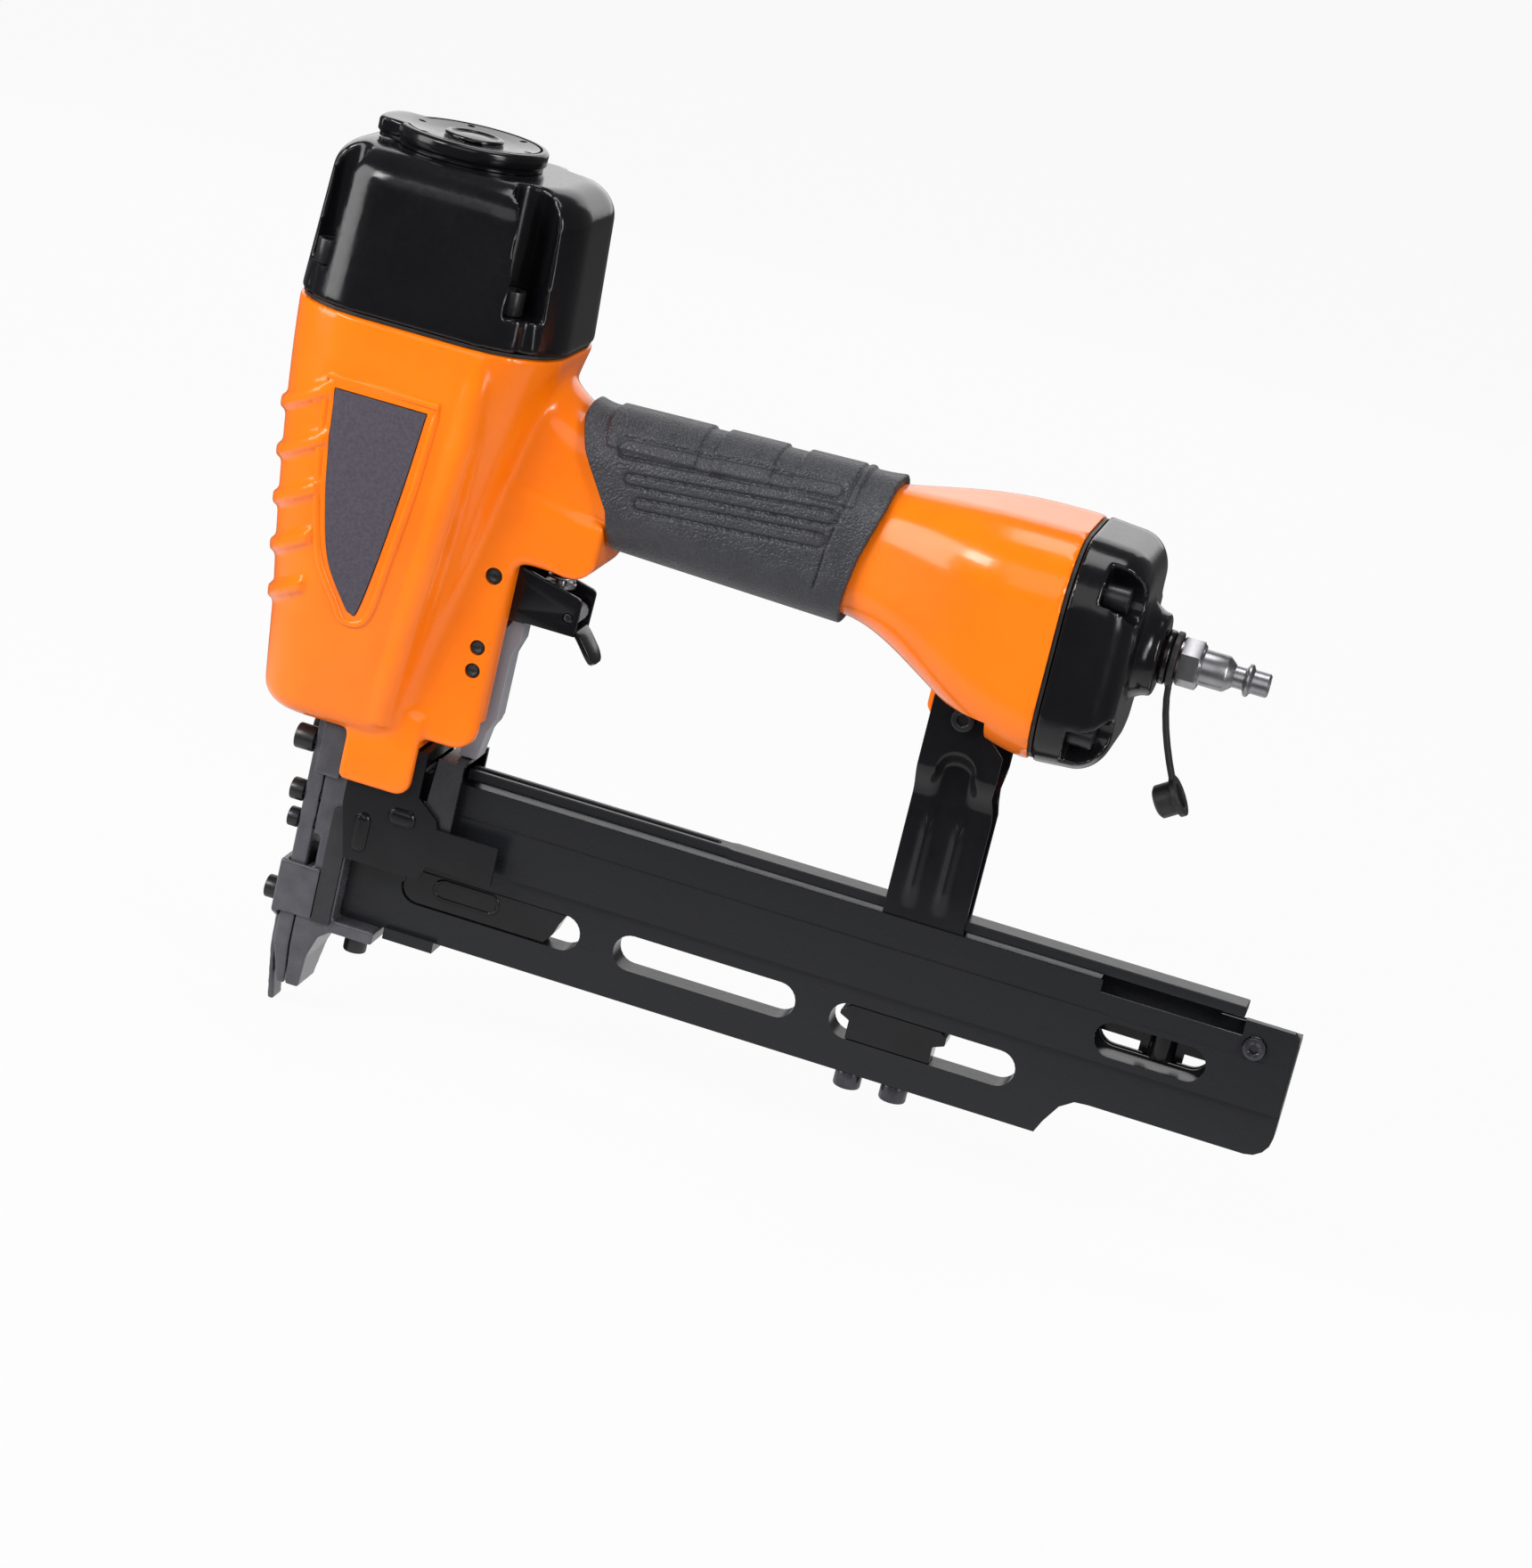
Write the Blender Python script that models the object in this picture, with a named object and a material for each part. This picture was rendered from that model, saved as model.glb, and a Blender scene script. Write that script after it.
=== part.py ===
# Pneumatic wire stapler with a long rear magazine. Sizes are in millimetres, +Z runs up the drive
# line, +X runs back along the magazine and the object is laid out about the XZ plane.
import math

import bpy
import bmesh

for stale in list(bpy.data.objects):
    bpy.data.objects.remove(stale, do_unlink=True)

MM = 0.001

# Fits
SEAT_GAP = 0.3
RUN_GAP = 0.4
CORNER_STEPS = 5
ROUND_SIDES = 24
SMALL_SIDES = 12

# Staple and drive line
CROWN_WIDTH = 12.7
WIRE_THICK = 1.6
CHANNEL_WIDTH = CROWN_WIDTH + RUN_GAP
CHANNEL_DEPTH = 2.2
PAD_SETBACK = 2.4
STROKE = 88.0
BLADE_CLEAR_OF_CROWN = 2.2

# Main casting, barrel part
BARREL_TOP = 238.4
BARREL_FOOT = 97.0
BARREL_TOP_FRONT = -42.0
BARREL_TOP_REAR = 50.0
BARREL_TOP_HALF = 39.0
BARREL_FOOT_FRONT = -30.0
BARREL_FOOT_REAR = 30.0
BARREL_FOOT_HALF = 20.5
BARREL_CORNER = 27.0
BARREL_FOOT_ROUND = 7.0
CYLINDER_BORE = 19.8
CYLINDER_FLOOR = 112.0
CHAMBER_BORE = 29.0
CHAMBER_FLOOR = 188.0

# Main casting, handle and rear bell
HANDLE_LOW = 182.7
HANDLE_HIGH = 222.0
HANDLE_HALF = 16.0
HANDLE_CORNER = 14.5
HANDLE_FRONT = 26.0
HANDLE_CLIMB = 3.0
HANDLE_SAG = 2.7
HANDLE_STEPS = 24
NECK_RISE = 14.0
NECK_START = 44.0
NECK_END = 66.0
BELL_START = 155.0
BELL_END = 228.4
BELL_LOW = 155.0
BELL_HIGH = 231.0
BELL_INSET = 2.0
BELL_CORNER = 22.0
BELL_WALL = 12.0
AIRWAY_RADIUS = 10.5
AIR_LINE_Z = 195.6

# Main casting, web behind the barrel, tongue under it and strut lug
WEB_HALF = 16.8
WEB_REAR = 48.5
WEB_ROUND = 8.5
WEB_RISE = 4.2
TRIGGER_ROOF = 168.5
VALVE_BUMP_REAR = 75.0
TONGUE_FRONT = 5.0
TONGUE_REAR = 30.0
TONGUE_LOW_DROP = 16.5
TONGUE_WALL = 2.7
LUG_HALF = 10.4

# Raised front ribs and side pad
RIB_COUNT = 5
RIB_TOP_Z = 194.0
RIB_PITCH = 17.4
RIB_HEIGHT = 5.0
RIB_RISE = 1.2
RIB_SLOPE = 0.62
RIB_END = -17.0
PAD_TOP = 214.0
PAD_TIP = 140.5
PAD_FRONT = -16.5
PAD_REAR = 15.0
PAD_BULGE = 3.5
PAD_THICK = 1.6
PAD_RIM = 3.2
PAD_RIM_RISE = 0.9

# Cap, gasket, deflector and their screws
GASKET_THICK = 1.0
CAP_HEIGHT = 52.0
CAP_DRAFT = 2.0
CAP_ROUND = 11.5
CAP_CAVITY_TOP = 278.0
CAP_SCREW_X = 31.5
CAP_SCREW_Y = 27.5
CAP_CHANNEL_RADIUS = 6.4
CAP_LEDGE = 10.5
CAP_SCREW_HEAD_RADIUS = 4.2
CAP_SCREW_HEAD = 8.0
CAP_SCREW_SHANK = 2.6
CAP_SCREW_GRIP = 14.0
EXHAUST_RADIUS = 3.0
EXHAUST_CIRCLE = 13.0
DEFLECTOR_SCREW_RADIUS = 3.0
DEFLECTOR_RADIUS = 25.0
DEFLECTOR_HEIGHT = 6.5
DEFLECTOR_WALL = 2.2
VISOR_REACH = 31.5
VISOR_HALF = 12.0
DEFLECTOR_BOSS = 9.8
DEFLECTOR_BOSS_RISE = 1.6

# Cylinder parts
SLEEVE_WALL = 2.5
SLEEVE_TOP = 232.0
BUMPER_HEIGHT = 11.2
BUMPER_HOLE = 8.0
PISTON_HEIGHT = 18.0
PISTON_TOP_GAP = 2.0
RING_WIDTH = 3.0
RING_DEPTH = 2.0
HEAD_VALVE_RADIUS = 28.0
HEAD_VALVE_HEIGHT = 16.0
HEAD_VALVE_TRAVEL = 6.0
HEAD_VALVE_LIP = 3.0
HEAD_VALVE_LIP_HEIGHT = 5.0
HEAD_VALVE_FLOOR = 4.0
BLADE_HEAD_RADIUS = 6.5
BLADE_HEAD_LENGTH = 6.0
BLADE_GAP = 0.15

# Grip sleeve
GRIP_THICK = 3.2
GRIP_TOP_FRONT = 59.5
GRIP_LOW_FRONT = VALVE_BUMP_REAR + 1.5
GRIP_TOP_REAR = 166.0
GRIP_LOW_REAR = 156.0
GRIP_PAD_RISE = 1.0

# End cap, air plug and dust cap
END_CAP_DEPTH = 22.5
END_CAP_ROUND = 11.0
END_SCREW_INSET = 10.0
END_SCREW_LOW = 170.5
END_SCREW_HIGH = 216.0
END_CHANNEL_RADIUS = 7.0
END_LEDGE = 9.5
INLET_BOSS_RADIUS = 13.8
INLET_BOSS_LENGTH = 7.1
PLUG_THREAD_RADIUS = 6.5
PLUG_HEX_FLATS = 14.3
PLUG_HEX_LENGTH = 7.6
PLUG_BODY_RADIUS = 5.95
PLUG_BODY_LENGTH = 10.6
PLUG_NECK_RADIUS = 3.6
PLUG_NECK_LENGTH = 3.6
PLUG_RIDGE_RADIUS = 5.4
PLUG_RIDGE_LENGTH = 2.6
PLUG_NOSE_RADIUS = 3.95
PLUG_NOSE_LENGTH = 5.6
PLUG_BORE = 2.6
COLLAR_RADIUS = 9.0
COLLAR_LENGTH = 2.6
STRAP_RING_RADIUS = 9.2
STRAP_RING_THICK = 2.0
STRAP_WIDTH = 5.0
STRAP_THICK = 1.7
STRAP_DROP = 30.5
STRAP_LEAN = 9.1
DUST_CUP_RADIUS = 5.6
DUST_CUP_DEPTH = 8.6
DUST_FLANGE_RADIUS = 6.8
DUST_CUP_TILT = 34.0

# Trigger group
TRIGGER_PIVOT_X = 42.5
TRIGGER_PIVOT_Z = 162.5
TRIGGER_HALF = 9.0
TRIGGER_SHEET = 1.5
TRIGGER_REAR = 71.5
TRIGGER_LOW = 147.9
TRIGGER_PIN_RADIUS = 2.6
LEVER_PIVOT_X = 68.0
LEVER_PIVOT_Z = 153.7
LEVER_PIN_RADIUS = 1.5
LEVER_FRONT = 47.5
LEVER_HALF = 4.6
VALVE_X = 61.0
VALVE_RADIUS = 7.0
VALVE_HEIGHT = 18.7
STEM_RADIUS = 2.0
STEM_LENGTH = 19.0
STEM_FOOT_RADIUS = 5.2
STEM_FOOT_THICK = 1.6
STEM_FOOT_Z = 161.0
COIL_RADIUS = 4.4
COIL_WIRE = 1.0
COIL_TURNS = 2.3
COIL_POINTS = 10

# Contact safety
SAFETY_TRAVEL = 9.0
GUIDE_PIN_X = 42.3
GUIDE_PIN_LOW = 129.3
GUIDE_PIN_HIGH = 137.4
GUIDE_PIN_RADIUS = 2.3
ARM_HALF = 4.5
ARM_WALL = 4.7
ARM_TOP = 146.4
ARM_REAR = 51.0
YOKE_SHEET = 1.4
YOKE_STRIP = 6.4
YOKE_TOP_DROP = 1.4
FOOT_SHEET = 2.3
FOOT_TIP = -8.5
FOOT_EAR_LOW_DROP = 70.0
FOOT_EAR_HIGH_DROP = 51.5
FOOT_EAR_REAR = 4.8
PRONG_LEAN = 2.4
PRONG_BEND_DROP = 85.0
PRONG_HALF = 6.5
FOOT_BOLT_DROP = 67.5
FOOT_BOLT_RADIUS = 2.1
FOOT_BOLT_HEAD = 6.6

# Nose
NOSE_HALF = 12.0
NOSE_REAR = 12.0
NOSE_PAD_REAR = 3.7
NOSE_TIP_HALF = 8.0
NOSE_TIP_HEIGHT_DROP = 81.0
NOSE_WINDOW_LOW_DROP = 52.0
NOSE_WINDOW_HIGH_DROP = 40.5
NOSE_LUG_REAR = 27.0
NOSE_LUG_LOW_DROP = 73.0
NOSE_BLOCK_REAR = 28.0
NOSE_BLOCK_LOW_DROP = 7.5
PLATE_THICK = 5.6
PLATE_EAR = 1.4
PLATE_EAR_LOW_DROP = 19.0
PLATE_EAR_FRONT = -4.5
PLATE_EAR_REAR = 4.5
NOSE_BOLT_Y = 9.3
NOSE_BOLT_DROPS = (9.0, 27.5, 37.4)
NOSE_BOLT_HEADS = (4.4, 3.8, 3.4)
NOSE_BOLT_HEIGHTS = (6.8, 4.8, 3.8)
NOSE_BOLT_RADIUS = 1.9
NOSE_BOLT_GRIP = 16.0
BRACKET_SHEET = 1.4
BRACKET_REAR = 41.0
BRACKET_EAR_REAR = 64.0

# Magazine
WEB_THICK = 9.4
MAG_FRONT = 12.4
MAG_RAIL_FRONT = 1.7
MAG_REAR = 335.5
MAG_LOW_DROP = 68.0
MAG_STEP_DROP = 37.0
MAG_LEDGE_DROP = 20.7
MAG_LIP_DROP = 9.6
MAG_RAIL_TOP_DROP = 11.0
MAG_FLOOR = 2.0
MAG_HALF = 7.9
MAG_WALL = 1.2
MAG_LEDGE = 0.5
MAG_TAIL_LOW_DROP = 53.5
MAG_KINK = 259.5
MAG_TAIL_STEP = 4.5
MAG_TAIL_LIP = 2.9
MAG_TAIL_TOP_DROP = 8.0
MAG_TAIL_LENGTH = 18.5
MAG_TAIL_ROUND = 8.0
MAG_NOTCH_START = 269.0
MAG_NOTCH_DEPTH = 4.2
SLOT_START = 31.0
SLOT_LENGTH = 64.4
SLOT_PITCH = 76.6
SLOT_COUNT = 3
SLOT_LOW_DROP = 56.7
SLOT_HIGH_DROP = 44.2
LATCH_SLOT_X = 289.6
LATCH_SLOT_DROP = 28.4
LATCH_SLOT_LENGTH = 37.6
LATCH_SLOT_HEIGHT = 12.0
LATCH_SCREW_X = 321.8
LATCH_SCREW_DROP = 16.6
LATCH_SCREW_HEAD = 3.9
LATCH_SHEET = 1.0
LEAF_RELIEF = 1.0
COVER_FRONT = 45.0
COVER_REAR = 316.0
COVER_HALF = 4.5
COVER_NARROW_HALF = 3.6
COVER_NARROW_END = 137.0
COVER_THICK = 3.7
COVER_GROOVE = 1.4
COVER_TRAVEL = 110.0
PUSHER_FRONT = 3.0
PUSHER_LENGTH = 28.0
PUSHER_SHEET = 1.4
MAG_BOLT_X = 18.4
MAG_BOLT_HEAD = 4.0
STOP_LENGTH = 18.0
STOP_DEPTH = 3.0
STOP_HALF = 7.0

# Strut between bell and magazine
STRUT_FRONT = 193.0
STRUT_REAR = 220.6
STRUT_TOP = 166.0
STRUT_TOP_REAR = 211.5
STRUT_SHEET = 1.5
STRUT_KNEE_HIGH = 150.0
STRUT_KNEE_LOW = 137.0
STRUT_SCREW_X = 204.3
STRUT_SCREW_Z = 160.2
STRUT_SCREW_RADIUS = 2.6
STRUT_SCREW_HEAD = 4.0
ANCHOR_LOW_DROP = 34.0
ANCHOR_HIGH_DROP = 24.0
STRUT_BOLT_X = 194.6
STRUT_BOLT_PITCH = 16.0
STRUT_BOLT_RADIUS = 2.4
STRUT_BOLT_HEAD = 4.7
STRUT_BOLT_HEIGHT = 5.6
ANCHOR_FRONT = 190.0
ANCHOR_REAR = 216.0

# Worked-out positions shared by several pieces; what hangs under the barrel is measured down from its foot
BELL_HALF = BARREL_TOP_HALF - BELL_INSET
END_SCREW_Y = BELL_HALF - END_SCREW_INSET
NOSE_TOP = BARREL_FOOT - SEAT_GAP
YOKE_TOP = BARREL_FOOT - YOKE_TOP_DROP
FOOT_EAR_LOW = BARREL_FOOT - FOOT_EAR_LOW_DROP
FOOT_EAR_HIGH = BARREL_FOOT - FOOT_EAR_HIGH_DROP
PRONG_BEND = BARREL_FOOT - PRONG_BEND_DROP
FOOT_BOLT_Z = BARREL_FOOT - FOOT_BOLT_DROP
NOSE_TIP_HEIGHT = BARREL_FOOT - NOSE_TIP_HEIGHT_DROP
NOSE_WINDOW_LOW = BARREL_FOOT - NOSE_WINDOW_LOW_DROP
NOSE_WINDOW_HIGH = BARREL_FOOT - NOSE_WINDOW_HIGH_DROP
NOSE_LUG_LOW = BARREL_FOOT - NOSE_LUG_LOW_DROP
NOSE_BLOCK_LOW = BARREL_FOOT - NOSE_BLOCK_LOW_DROP
PLATE_EAR_LOW = BARREL_FOOT - PLATE_EAR_LOW_DROP
TONGUE_LOW = BARREL_FOOT - TONGUE_LOW_DROP
MAG_LOW = BARREL_FOOT - MAG_LOW_DROP
MAG_STEP_Z = BARREL_FOOT - MAG_STEP_DROP
MAG_LEDGE_Z = BARREL_FOOT - MAG_LEDGE_DROP
MAG_LIP_Z = BARREL_FOOT - MAG_LIP_DROP
MAG_RAIL_TOP = BARREL_FOOT - MAG_RAIL_TOP_DROP
MAG_TAIL_LOW = BARREL_FOOT - MAG_TAIL_LOW_DROP
MAG_TAIL_TOP = BARREL_FOOT - MAG_TAIL_TOP_DROP
SLOT_LOW = BARREL_FOOT - SLOT_LOW_DROP
SLOT_HIGH = BARREL_FOOT - SLOT_HIGH_DROP
LATCH_SLOT_Z = BARREL_FOOT - LATCH_SLOT_DROP
LATCH_SCREW_Z = BARREL_FOOT - LATCH_SCREW_DROP
ANCHOR_LOW = BARREL_FOOT - ANCHOR_LOW_DROP
ANCHOR_HIGH = BARREL_FOOT - ANCHOR_HIGH_DROP
MAG_TAIL_FRONT = MAG_REAR - MAG_TAIL_LENGTH
CAP_BASE = BARREL_TOP + 2 * SEAT_GAP + GASKET_THICK
CAP_TOP = CAP_BASE + CAP_HEIGHT
CAP_LEDGE_Z = CAP_BASE + CAP_LEDGE
DEFLECTOR_BASE = CAP_TOP + SEAT_GAP
END_CAP_FRONT = BELL_END + 2 * SEAT_GAP + GASKET_THICK
END_CAP_REAR = END_CAP_FRONT + END_CAP_DEPTH
BOSS_END = END_CAP_REAR + INLET_BOSS_LENGTH
COLLAR_END = BOSS_END + SEAT_GAP + COLLAR_LENGTH
HEX_START = COLLAR_END + STRAP_RING_THICK + 2 * SEAT_GAP
SLEEVE_OUTER = CYLINDER_BORE - SEAT_GAP
SLEEVE_INNER = SLEEVE_OUTER - SLEEVE_WALL
PISTON_RADIUS = SLEEVE_INNER - RUN_GAP
PISTON_TOP = SLEEVE_TOP - PISTON_TOP_GAP
PISTON_LOW = PISTON_TOP - PISTON_HEIGHT
BUMPER_LOW = CYLINDER_FLOOR + SEAT_GAP
BUMPER_TOP = BUMPER_LOW + BUMPER_HEIGHT
PLATE_REAR = -CHANNEL_DEPTH / 2 - SEAT_GAP
PLATE_FRONT = PLATE_REAR - PLATE_THICK
FOOT_FRONT = PLATE_FRONT - RUN_GAP - FOOT_SHEET
COVER_LOW = MAG_RAIL_TOP + WIRE_THICK + 2 * SEAT_GAP
COVER_TOP = COVER_LOW + COVER_THICK
LEG_SPACE = MAG_HALF - MAG_WALL
YOKE_IN = NOSE_HALF + RUN_GAP
YOKE_OUT = YOKE_IN + YOKE_SHEET
WIDE_SLOT_HALF = YOKE_OUT + RUN_GAP
BRACKET_IN = YOKE_OUT + RUN_GAP
BRACKET_OUT = BRACKET_IN + BRACKET_SHEET
TONGUE_IN = BRACKET_OUT + SEAT_GAP
TONGUE_HALF = TONGUE_IN + TONGUE_WALL
TRIGGER_SLOT_HALF = TRIGGER_HALF + SEAT_GAP
STRUT_IN = COVER_HALF + RUN_GAP


# Modelling helpers

def finish(name, colour, roughness, metallic):
    material = bpy.data.materials.new(name)
    material.use_nodes = True
    shader = material.node_tree.nodes["Principled BSDF"]
    shader.inputs["Base Color"].default_value = (*colour, 1.0)
    shader.inputs["Roughness"].default_value = roughness
    shader.inputs["Metallic"].default_value = metallic
    return material


ORANGE = finish("orange_paint", (1.0, 0.24, 0.02), 0.32, 0.0)
GLOSS_BLACK = finish("gloss_black", (0.012, 0.012, 0.014), 0.18, 0.0)
SATIN_BLACK = finish("satin_black", (0.022, 0.023, 0.026), 0.42, 0.4)
PHOSPHATE = finish("dark_phosphate", (0.075, 0.075, 0.08), 0.5, 0.7)
RUBBER = finish("charcoal_rubber", (0.035, 0.036, 0.04), 0.75, 0.0)
STEEL = finish("bright_steel", (0.62, 0.62, 0.63), 0.28, 1.0)
GREY_STEEL = finish("grey_steel", (0.36, 0.36, 0.39), 0.45, 0.8)
ALUMINIUM = finish("inner_aluminium", (0.55, 0.55, 0.56), 0.4, 1.0)

frame = bpy.data.objects.new("stapler_frame", None)
frame.location = (-PAD_SETBACK * MM, 0, 0)
bpy.context.scene.collection.objects.link(frame)


def build(name, points, faces, material, origin):
    mesh = bpy.data.meshes.new(name)
    local = [[(p[i] - origin[i]) * MM for i in range(3)] for p in points]
    mesh.from_pydata(local, [], faces)
    shape = bmesh.new()
    shape.from_mesh(mesh)
    bmesh.ops.recalc_face_normals(shape, faces=shape.faces)
    shape.to_mesh(mesh)
    shape.free()
    mesh.shade_smooth()
    mesh.set_sharp_from_angle(angle=math.radians(35))
    part = bpy.data.objects.new(name, mesh)
    if material:
        mesh.materials.append(material)
    bpy.context.scene.collection.objects.link(part)
    part.parent = frame
    part.location = [value * MM for value in origin]
    return part


def loft(name, rings, material=None, closed=False, origin=(0, 0, 0)):
    size = len(rings[0])
    points = [point for ring in rings for point in ring]
    faces = []
    for i in range(len(rings) if closed else len(rings) - 1):
        low = i * size
        high = (i + 1) % len(rings) * size
        for j in range(size):
            k = (j + 1) % size
            faces.append((low + j, low + k, high + k, high + j))
    if not closed:
        faces.append(tuple(range(size)))
        faces.append(tuple(range(len(points) - size, len(points))))
    return build(name, points, faces, material, origin)


def lay(u, v, w, axis):
    return {"X": (w, u, v), "Y": (u, w, v), "Z": (u, v, w)}[axis]


def prism(name, outline, axis, low, high, material=None, origin=(0, 0, 0)):
    rings = [[lay(u, v, w, axis) for u, v in outline] for w in (low, high)]
    return loft(name, rings, material, origin=origin)


def box(name, low, high, material=None, origin=(0, 0, 0)):
    outline = [(low[0], low[1]), (high[0], low[1]), (high[0], high[1]), (low[0], high[1])]
    return prism(name, outline, "Z", low[2], high[2], material, origin)


def arc(u, v, radius, start, stop, steps):
    turns = [math.radians(start + (stop - start) * i / steps) for i in range(steps + 1)]
    return [(u + radius * math.cos(turn), v + radius * math.sin(turn)) for turn in turns]


def circle(u, v, radius, sides=ROUND_SIDES):
    return arc(u, v, radius, 0, 360 - 360 / sides, sides - 1)


def turned(name, profile, axis, centre, material=None, closed=False, sides=ROUND_SIDES, origin=(0, 0, 0)):
    rings = []
    for radius, along in profile:
        rings.append([lay(u, v, along, axis) for u, v in circle(*centre, radius, sides)])
    return loft(name, rings, material, closed, origin)


def rod(name, radius, axis, centre, low, high, material=None, sides=SMALL_SIDES, origin=(0, 0, 0)):
    return turned(name, [(radius, low), (radius, high)], axis, centre, material, False, sides, origin)


def rounded(u0, u1, v0, v1, corner, steps=CORNER_STEPS):
    corner = min(corner, (u1 - u0) / 2 - 0.05, (v1 - v0) / 2 - 0.05)
    ring = arc(u1 - corner, v1 - corner, corner, 0, 90, steps)
    ring += arc(u0 + corner, v1 - corner, corner, 90, 180, steps)
    ring += arc(u0 + corner, v0 + corner, corner, 180, 270, steps)
    ring += arc(u1 - corner, v0 + corner, corner, 270, 360, steps)
    return ring


def boolean(part, other, operation):
    step = part.modifiers.new(other.name, "BOOLEAN")
    step.operation = operation
    step.solver = "EXACT"
    step.object = other
    other.hide_render = True
    other.display_type = "WIRE"


def cut(part, *others):
    for other in others:
        boolean(part, other, "DIFFERENCE")


def fuse(part, *others):
    for other in others:
        boolean(part, other, "UNION")


def keep(part, other):
    boolean(part, other, "INTERSECT")


def soften(part, width, segments=2):
    step = part.modifiers.new("Soft edges", "BEVEL")
    step.width = width * MM
    step.segments = segments
    step.limit_method = "ANGLE"
    step.angle_limit = math.radians(50)


def ease(share, power):
    return 1 - (1 - min(max(share, 0.0), 1.0)) ** power


def between(low, high, share):
    return low + (high - low) * share


# A socket-head screw as one turned body, its head at the low end of the axis when facing is 1.
def socket_screw(name, axis, centre, seat, facing, head, head_length, shank, grip, socket, material):
    profile = [
        (socket, seat - facing * head_length * 0.45),
        (socket, seat - facing * head_length),
        (head - 0.5, seat - facing * head_length),
        (head, seat - facing * (head_length - 0.5)),
        (head, seat),
        (shank, seat),
        (shank, seat + facing * grip),
    ]
    return turned(name, profile, axis, centre, material, sides=SMALL_SIDES)


# Main casting

def barrel_ring(z, grow):
    share = (z - BARREL_FOOT) / (BARREL_TOP - BARREL_FOOT)
    front = between(BARREL_FOOT_FRONT, BARREL_TOP_FRONT, ease(share, 1.25))
    rear = between(BARREL_FOOT_REAR, BARREL_TOP_REAR, max(share, 0) ** 1.5)
    half = between(BARREL_FOOT_HALF, BARREL_TOP_HALF, ease(share, 2.0))
    above = min(z - BARREL_FOOT, BARREL_FOOT_ROUND)
    inset = BARREL_FOOT_ROUND - math.sqrt(BARREL_FOOT_ROUND**2 - (BARREL_FOOT_ROUND - above) ** 2)
    grow = grow - inset
    corner = min(BARREL_CORNER, half - 2) + grow
    outline = rounded(front - grow, rear + grow, -half - grow, half + grow, corner)
    return [(x, y, z) for x, y in outline]


def barrel_form(name, grow=0.0, low=BARREL_FOOT, high=BARREL_TOP, material=None):
    steps = [0, 0.015, 0.05, 0.12, 0.22, 0.35, 0.5, 0.65, 0.8, 0.92, 1]
    return loft(name, [barrel_ring(between(low, high, step), grow) for step in steps], material)


def handle_ring(x, grow):
    share = min(max((x - BELL_START) / (BELL_END - BELL_START), 0), 1)
    drop = 3 * share**2 - 2 * share**3
    early = ease(share, 1.6)
    rise = 3 * early**2 - 2 * early**3
    neck = min(max((NECK_END - x) / (NECK_END - NECK_START), 0), 1)
    slope = min(max((x - NECK_END) / (BELL_START - NECK_END), 0), 1)
    low = between(HANDLE_LOW - HANDLE_SAG * slope, BELL_LOW, drop) - grow
    high = between(HANDLE_HIGH + HANDLE_CLIMB * slope, BELL_HIGH, rise) + NECK_RISE * neck**2 + grow
    half = between(HANDLE_HALF, BELL_HALF, rise) + grow
    corner = between(HANDLE_CORNER, BELL_CORNER, rise) + grow
    return [(x, y, z) for y, z in rounded(-half, half, low, high, corner)]


def handle_form(name, grow, start, stop, material=None):
    pitch = (BELL_END - HANDLE_FRONT) / HANDLE_STEPS
    places = [HANDLE_FRONT + i * pitch for i in range(HANDLE_STEPS + 2)]
    return loft(name, [handle_ring(x, grow) for x in places if start - pitch < x < stop + pitch], material)


def web_form():
    low = BARREL_FOOT + WEB_RISE
    outline = [(20, low)] + arc(WEB_REAR - WEB_ROUND, low + WEB_ROUND, WEB_ROUND, -90, 0, 4)
    outline += [(WEB_REAR, TRIGGER_ROOF - 1.5), (WEB_REAR + 1.5, TRIGGER_ROOF)]
    outline += arc(VALVE_BUMP_REAR - 8, TRIGGER_ROOF + 8, 8, -90, 0, 4)
    outline += [(VALVE_BUMP_REAR, HANDLE_LOW + 6), (20, HANDLE_LOW + 14)]
    web = prism("web_form", outline, "Y", -WEB_HALF, WEB_HALF)
    soften(web, 3.0)
    return web


def tongue_form():
    outline = [(TONGUE_FRONT, BARREL_FOOT + 12), (TONGUE_FRONT, TONGUE_LOW + 1.5),
               (TONGUE_FRONT + 1.5, TONGUE_LOW)]
    outline += arc(TONGUE_REAR - 5, TONGUE_LOW + 5, 5, -90, 0, 3)
    outline += [(TONGUE_REAR, BARREL_FOOT + 12)]
    tongue = prism("tongue_form", outline, "Y", -TONGUE_HALF, TONGUE_HALF)
    soften(tongue, 1.2, 1)
    return tongue


def lug_form():
    low = STRUT_SCREW_Z - 9
    outline = [(STRUT_FRONT - 2, HANDLE_LOW), (STRUT_FRONT - 2, STRUT_SCREW_Z)]
    outline += [(STRUT_SCREW_X - 6, low), (STRUT_SCREW_X + 6, low)]
    outline += [(STRUT_TOP_REAR + 4, STRUT_SCREW_Z), (STRUT_TOP_REAR + 4, HANDLE_LOW)]
    return prism("lug_form", outline, "Y", -LUG_HALF, LUG_HALF)


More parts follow.
